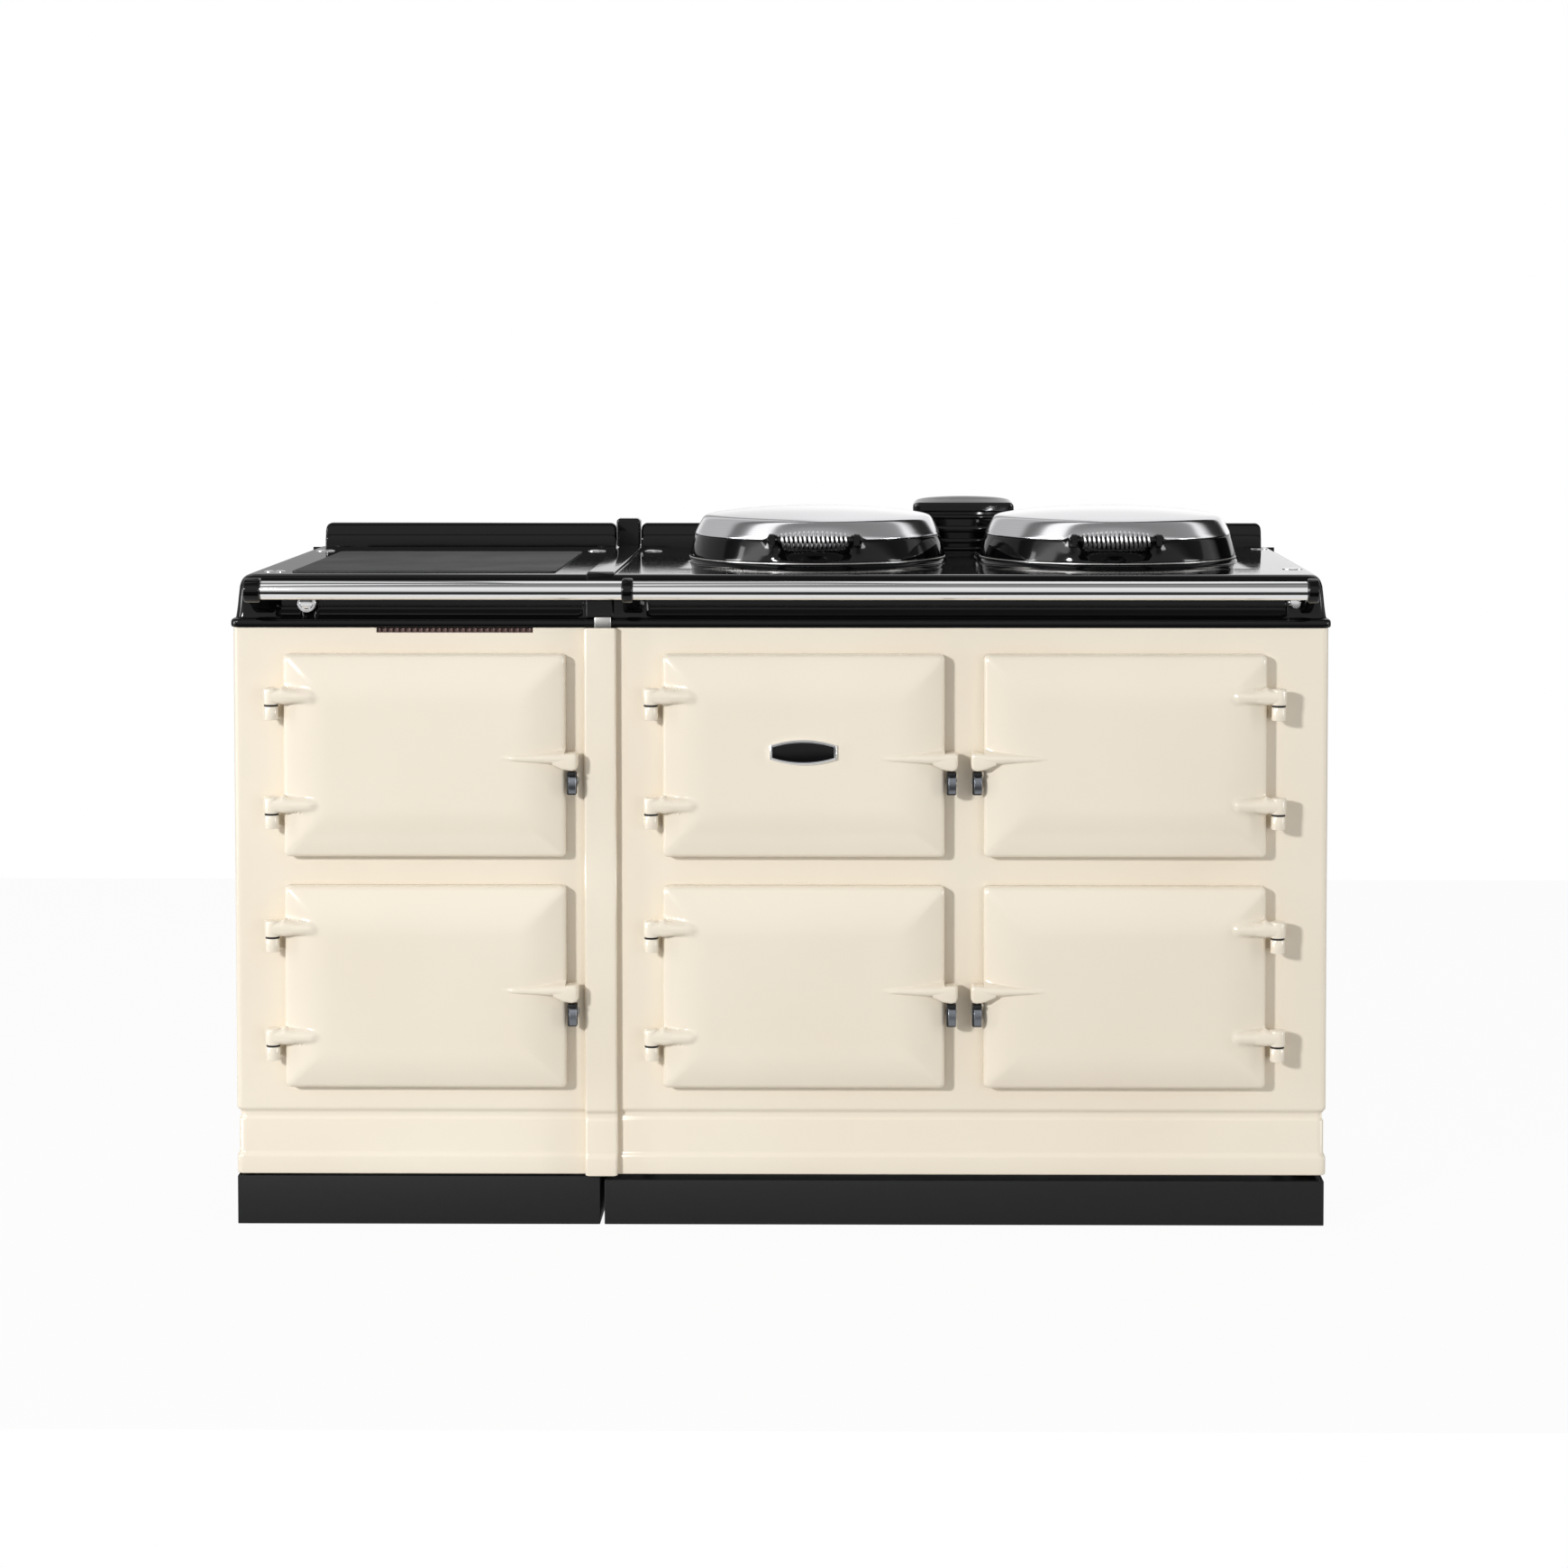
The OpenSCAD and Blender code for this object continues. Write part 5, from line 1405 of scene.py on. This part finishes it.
def coilPart(x):
    # a barrel-shaped spring: angle 360 * turns * t, radius from the end to the middle one as sin(180 t)
    k = lidLook
    t = np.linspace(0, 1, k["coilTurns"] * 20 + 1)
    angle = 2 * math.pi * k["coilTurns"] * t
    radius = k["coilEnd"] + (k["coilMid"] - k["coilEnd"]) * np.sin(math.pi * t)
    path = np.column_stack([k["coilHalf"] * (2 * t - 1), radius * np.cos(angle), radius * np.sin(angle)])
    lead = np.array([[-53.4, k["coilEnd"], 0], [-51, k["coilEnd"], 0], [-49, k["coilEnd"], 0]])
    path = np.concatenate([lead, path[1:-1], lead[::-1] * [-1, 1, 1]])
    return moved(tubePart(path, k["wire"], 10, path * [0, 1, 1]), x, lidY + k["gripY"], k["gripZ"])


def seatTrimPart(x):
    # a knurled metal ring under the skirt: its thickness flickers at every step round the rim
    centre, level, thick = lidLook["seat"]
    angle = fullTurn(720)[:, None]
    around = fullTurn(8)
    flicker = 0.25 * np.where(np.arange(720) % 2 == 0, 1, -1)[:, None] * np.cos(around * 2)
    radius = thick + flicker
    reach = centre + radius * np.cos(around)
    points = np.stack([reach * np.cos(angle), reach * np.sin(angle), level + radius * np.sin(around)], -1)
    return moved(torusPart(points.swapaxes(0, 1)), x, lidY, 0)


def gripRodPart(x):
    # the rod that the coil sits round, from arm to arm
    long = lidLook["rodLong"]
    return placed(pinPart(5.0, long, 32), "right", (x - long / 2, lidY + lidLook["gripY"], lidLook["gripZ"]))


for i, (x, label) in enumerate(zip(lidX, ("boiling", "simmering"))):
    lid = label + "_lid"
    baseParts = [(part, black) for part in lidBaseParts(x)] + [(seatTrimPart(x), stainless)]
    makePiece(label + "LidShell", lid, [(domePart(x), domes[i])], [lid + "_shell"], 50)
    makePiece(label + "LidBase", lid, baseParts, [lid + "_base"], 50)
    makePiece(label + "LidRod", lid, [(gripRodPart(x), darkIron)], [lid + "_rod"])
    makePiece(label + "LidCoil", lid, [(coilPart(x), coilSteel)], [lid + "_coil"], 70)
print("lids made")


# A stem, a ringed head and a dished middle, as [radius, distance out]
buttonLook = {"at": (-638, frontY + 14, 845),
              "profile": [(9, -10), (9, 4), (13, 4), (13, 14.4), (12.7, 15.4), (12, 16), (11.2, 16.2),
                          (10.4, 16), (9.9, 14.9), (9.5, 14.9), (9.1, 15.6), (8.4, 15.9), (6, 15.2),
                          (3.6, 14.8), (1, 14.6)]}
button = placed(lathe(buttonLook["profile"], 64), "front", buttonLook["at"])
makePiece("pushButton", "push_button_body", [(button, chrome)], ["push_button"])
knobLook = {"at": (691.5, frontY + 0.5, 847.5), "radius": 8, "flutes": 12, "scallop": 1.0}


def knobPart():
    # the radius less a shallow scallop at each flute, fading out towards the face
    k = knobLook
    r = k["radius"]
    angle = fullTurn(144)
    scallop = k["scallop"] * np.clip(np.cos(angle * k["flutes"]) * 1.6, 0, 1)
    rows = []
    for radius, level, share in ((3, -19, 0), (3, 0, 0), (r - 0.6, 0, 0), (r, 0.6, 0), (r, 2.6, 0),
                                 (r, 3.4, 1), (r, 14.6, 1), (r - 0.4, 15.6, 0.8), (r - 1.2, 16, 0.3),
                                 (1, 16, 0)):
        reach = radius - scallop * share
        rows.append(atLevel(np.column_stack([reach * np.cos(angle), reach * np.sin(angle)]), level))
    return placed(loftPart(rows), "front", k["at"])


makePiece("controlKnob", "control_knob_body", [(knobPart(), chrome)], ["control_knob"])

clipLook = {"at": (-238, frontY - 8, 0), "half": (11, 4), "low": 812.4, "high": 827}
clip = slab(*clipLook["half"], 1, roundedEdge(clipLook["low"], clipLook["high"], 0.8, 3), 4)
makePiece("stripClip", body, [(moved(clip, *clipLook["at"]), stainless)], ["strip_clip"])

plinthLook = {"spans": ((-737, -245, 66), (-239, 735.5, 61)), "thick": 3, "lipHalf": 17, "gapBehind": 20}


def boardPart(half, high, at, way):
    # a thin board with rounded edges, facing one way
    part = slab(half, high / 2, 1.2, roundedEdge(-plinthLook["thick"], 0, 0.8, 3), 3)
    return placed(part, way, at)


def plinthParts(x0, x1, top):
    # a front board with a return lip behind its top edge, and a board along each side; the dark lip also
    # stands in as painted shade for the hollow behind the gap above the plinth
    p = plinthLook
    mid, half = (x0 + x1) / 2, (x1 - x0) / 2
    # the return lip is a flange of the plinth and also painted shade: a dark sheet that blocks the view into
    # the shadowed hollow behind the gap
    lipEdge = [(0.3, top - 3.6), (0, top - 3.3), (0, top - 0.9), (0.3, top - 0.6)]
    lip = slab(half - 3.2, p["lipHalf"], 0.6, lipEdge, 3)
    sideY = frontY + 4.5
    depthHalf = (backY - p["gapBehind"] - sideY) / 2
    return [boardPart(half, top, (mid, frontY + 1, top / 2), "front"), moved(lip, mid, frontY + 21, 0),
            boardPart(depthHalf, top, (x0, sideY + depthHalf, top / 2), "left"),
            boardPart(depthHalf, top, (x1, sideY + depthHalf, top / 2), "right")]


plinths = [(part, plinthPaint) for span in plinthLook["spans"] for part in plinthParts(*span)]
makePiece("plinths", body, plinths, ["plinths"])
panelLook = {"at": (32, -132.5, 641), "half": (140, 85), "window": (110, 50), "buttons": 5, "pitch": 44,
             "buttonZ": -62, "segment": (6.4, 1.1), "digitPitch": 27}
segmentSpots = {"top": (0, 15, 0), "mid": (0, 0, 0), "low": (0, -15, 0), "upLeft": (-7.6, 7.5, 1),
                "upRight": (7.6, 7.5, 1), "lowLeft": (-7.6, -7.5, 1), "lowRight": (7.6, -7.5, 1)}
digitShapes = {1: "upRight lowRight", 2: "top upRight mid lowLeft low", 3: "top upRight mid lowRight low",
               0: "top upLeft upRight lowLeft lowRight low"}


def panelParts():
    # a rounded fascia, a glossy window with four figures of seven segments, and ringed buttons below
    p = panelLook
    x, y, z = p["at"]
    parts = [(placed(slab(*p["half"], 8, roundedEdge(-22, 0, 2.2), 6), "front", p["at"]), panelBlack)]
    window = slab(*p["window"], 5, [(0, -1), (0, 2.0), (0.8, 2.8), (1.4, 3.0), (4.5, 3.0), (5.2, 2.5)], 5)
    parts.append((placed(window, "front", (x, y, z + 10)), badgeBlack))
    for i, digit in enumerate((1, 2, 3, 0)):
        for spot in digitShapes[digit].split():
            a, b, upright = segmentSpots[spot]
            half = p["segment"][::-1] if upright else p["segment"]
            bar = slab(*half, 0.9, [(0, 2.2), (0, 2.8)], 2)
            parts.append((placed(moved(bar, a, b, 0), "front", (x + (i - 1.5) * p["digitPitch"], y, z + 12)),
                          displayGlow))
    for i in range(p["buttons"]):
        ring = lathe([(8, -0.5), (8, 1.8), (7.6, 2.2), (6.8, 2.2), (6.5, 1.8), (6.4, 0.8), (5.9, 0.8),
                      (5.8, 2.2), (5.2, 2.8), (3, 3.0), (0.4, 3.0)], 36)
        parts.append((placed(ring, "front", (x + (i - 2) * p["pitch"], y, z + p["buttonZ"])), stainless))
    return parts


makePiece("controlPanel", body, panelParts(), ["control_panel"])
print("base made")


floorLook = {"half": 3.2, "front": -1.12, "back": 2.6, "colour": (0.62, 0.61, 0.59, 1), "toCamera": 0.95,
             "toGloss": 0.7}


def makeStage():
    # a plain floor that is nearly white to the camera and in reflections, and still takes the cooker's shadow
    look = floorLook
    half, front, back = look["half"], look["front"], look["back"]
    mesh = bpy.data.meshes.new("floor")
    mesh.from_pydata([(-half, front, 0), (half, front, 0), (half, back, 0), (-half, back, 0)], [],
                     [(0, 1, 2, 3)])
    floor = bpy.data.objects.new("floor", mesh)
    bpy.context.scene.collection.objects.link(floor)
    material, f = makeFinish("paleFloor")
    seen = f.node("ShaderNodeLightPath", out="Is Camera Ray") * look["toCamera"]
    mirrored = f.node("ShaderNodeLightPath", out="Is Glossy Ray") * look["toGloss"]
    diffuse = f.node("ShaderNodeBsdfDiffuse", None, {"Color": look["colour"]})
    glow = f.node("ShaderNodeEmission", None, {"Color": (1, 1, 1, 1), "Strength": 1.0})
    mixed = f.node("ShaderNodeMixShader", None, {0: seen.highest(mirrored), 1: diffuse, 2: glow})
    f.node("ShaderNodeOutputMaterial", None, {"Surface": mixed})
    mesh.materials.append(material)


# Reflections: brightness by the share of a turn across the cooker and round it
worldLook = {
    "level": 0.33,
    "across": [(0.0, 0.4), (0.04, 0.45), (0.12, 0.95), (0.35, 0.95), (0.37, 0.03), (0.425, 0.03),
               (0.45, 0.10), (0.468, 0.14), (0.482, 0.75), (0.545, 1.0), (0.612, 1.0), (0.632, 0.55),
               (0.66, 0.27), (0.785, 0.28), (0.812, 0.93), (0.965, 0.93), (0.98, 1.15), (1.0, 1.15)],
    "round": [(0.0, 1.0), (0.016, 0.85), (0.024, 0.34), (0.036, 0.34), (0.05, 0.9), (0.085, 0.55),
              (0.25, 0.6), (0.276, 1.2), (0.284, 4.6), (0.35, 4.6), (0.358, 0.9), (0.62, 0.9), (0.72, 1.0),
              (0.80, 1.2), (0.832, 0.02), (0.9, 0.02), (0.91, 1.0)],
    "windowBand": [(0.462, 0.0), (0.47, 1.0), (0.575, 1.0), (0.583, 0.0)],
    "windows": [(0.232, 0.0), (0.24, 18.0), (0.298, 18.0), (0.305, 0.0), (0.69, 0.0), (0.698, 12.0),
                (0.735, 12.0), (0.742, 0.0)],
}


def makeWorld():
    # white to the camera, one plain level to surfaces; reflections see two ramps multiplied, plus two windows
    look = worldLook
    world = bpy.data.worlds.new("studio")
    bpy.context.scene.world = world
    f = Finish(world)
    here = f.node("ShaderNodeTexCoord", out="Generated")
    x, y, z = f.outputs("ShaderNodeSeparateXYZ", {0: here}, "X", "Y", "Z")
    across = f.angleShare(z, y * -1)
    around = f.angleShare(x, y * -1)
    room = f.mixColour(1.0, f.ramp(across, look["across"]), f.ramp(around, look["round"]), "MULTIPLY")
    windows = f.mixColour(1.0, f.ramp(across, look["windowBand"]), f.ramp(around, look["windows"]),
                          "MULTIPLY")
    camera, glossy, through = f.outputs("ShaderNodeLightPath", {}, "Is Camera Ray", "Is Glossy Ray",
                                        "Is Transmission Ray")
    plain = (look["level"],) * 3 + (1,)
    base = f.mixColour(glossy, plain, f.mixColour(1.0, room, windows, "ADD"))
    colour = f.mixColour(camera.highest(through), base, (1, 1, 1, 1))
    back = f.node("ShaderNodeBackground", None, {"Color": colour, "Strength": 1.0})
    f.node("ShaderNodeOutputWorld", None, {"Surface": back})


def addLamp(name, where, target, size, watts, mirrored):
    # a rectangular softbox that looks from one point to another
    lamp = bpy.data.lights.new(name, "AREA")
    lamp.shape = "RECTANGLE"
    lamp.size, lamp.size_y = size
    lamp.energy = watts
    holder = bpy.data.objects.new(name, lamp)
    bpy.context.scene.collection.objects.link(holder)
    holder.location = where
    holder.rotation_euler = (Vector(target) - Vector(where)).to_track_quat("-Z", "Y").to_euler()
    holder.visible_glossy = mirrored


makeStage()
makeWorld()
# Lamps in metres and watts: where, aimed at, size, power and whether reflections show it
lamps = {
    "keySoftbox": ((-4.3, -6.2, 2.9), (0, 0, 0.45), (0.7, 0.7), 352, True),
    "frontFill": ((2.1, -4.4, 1.1), (0.5, 0, 0.3), (2.0, 1.2), 24, False),
    "leftStrip": ((-3.3, -1.0, 1.0), (0, 0, 0.6), (0.3, 2.4), 16, True),
    "rightStrip": ((3.3, -0.9, 1.0), (0, 0, 0.6), (0.3, 2.4), 20, False),
    "backFill": ((0.4, 2.3, 3.9), (0, 0, 0.6), (2.6, 1.2), 34, False),
}
for lampName, spec in lamps.items():
    addLamp(lampName, *spec)
# Place in metres, pitch and yaw in degrees
cameraLook = {"where": (0.1482, -4.75, 1.208), "turn": (-2.352, 0.478), "lens": 76.679,
              "shift": (-0.05, -0.20)}
camera = bpy.data.cameras.new("viewCamera")
camera.lens = cameraLook["lens"]
camera.sensor_width = 36
camera.shift_x, camera.shift_y = cameraLook["shift"]
viewer = bpy.data.objects.new("viewCamera", camera)
bpy.context.scene.collection.objects.link(viewer)
viewer.location = cameraLook["where"]
pitch, yaw = cameraLook["turn"]
viewer.rotation_euler = (math.radians(90 + pitch), 0, math.radians(yaw))
bpy.context.scene.camera = viewer
bpy.context.scene.view_settings.view_transform = "Standard"
print("stage, light and camera set")
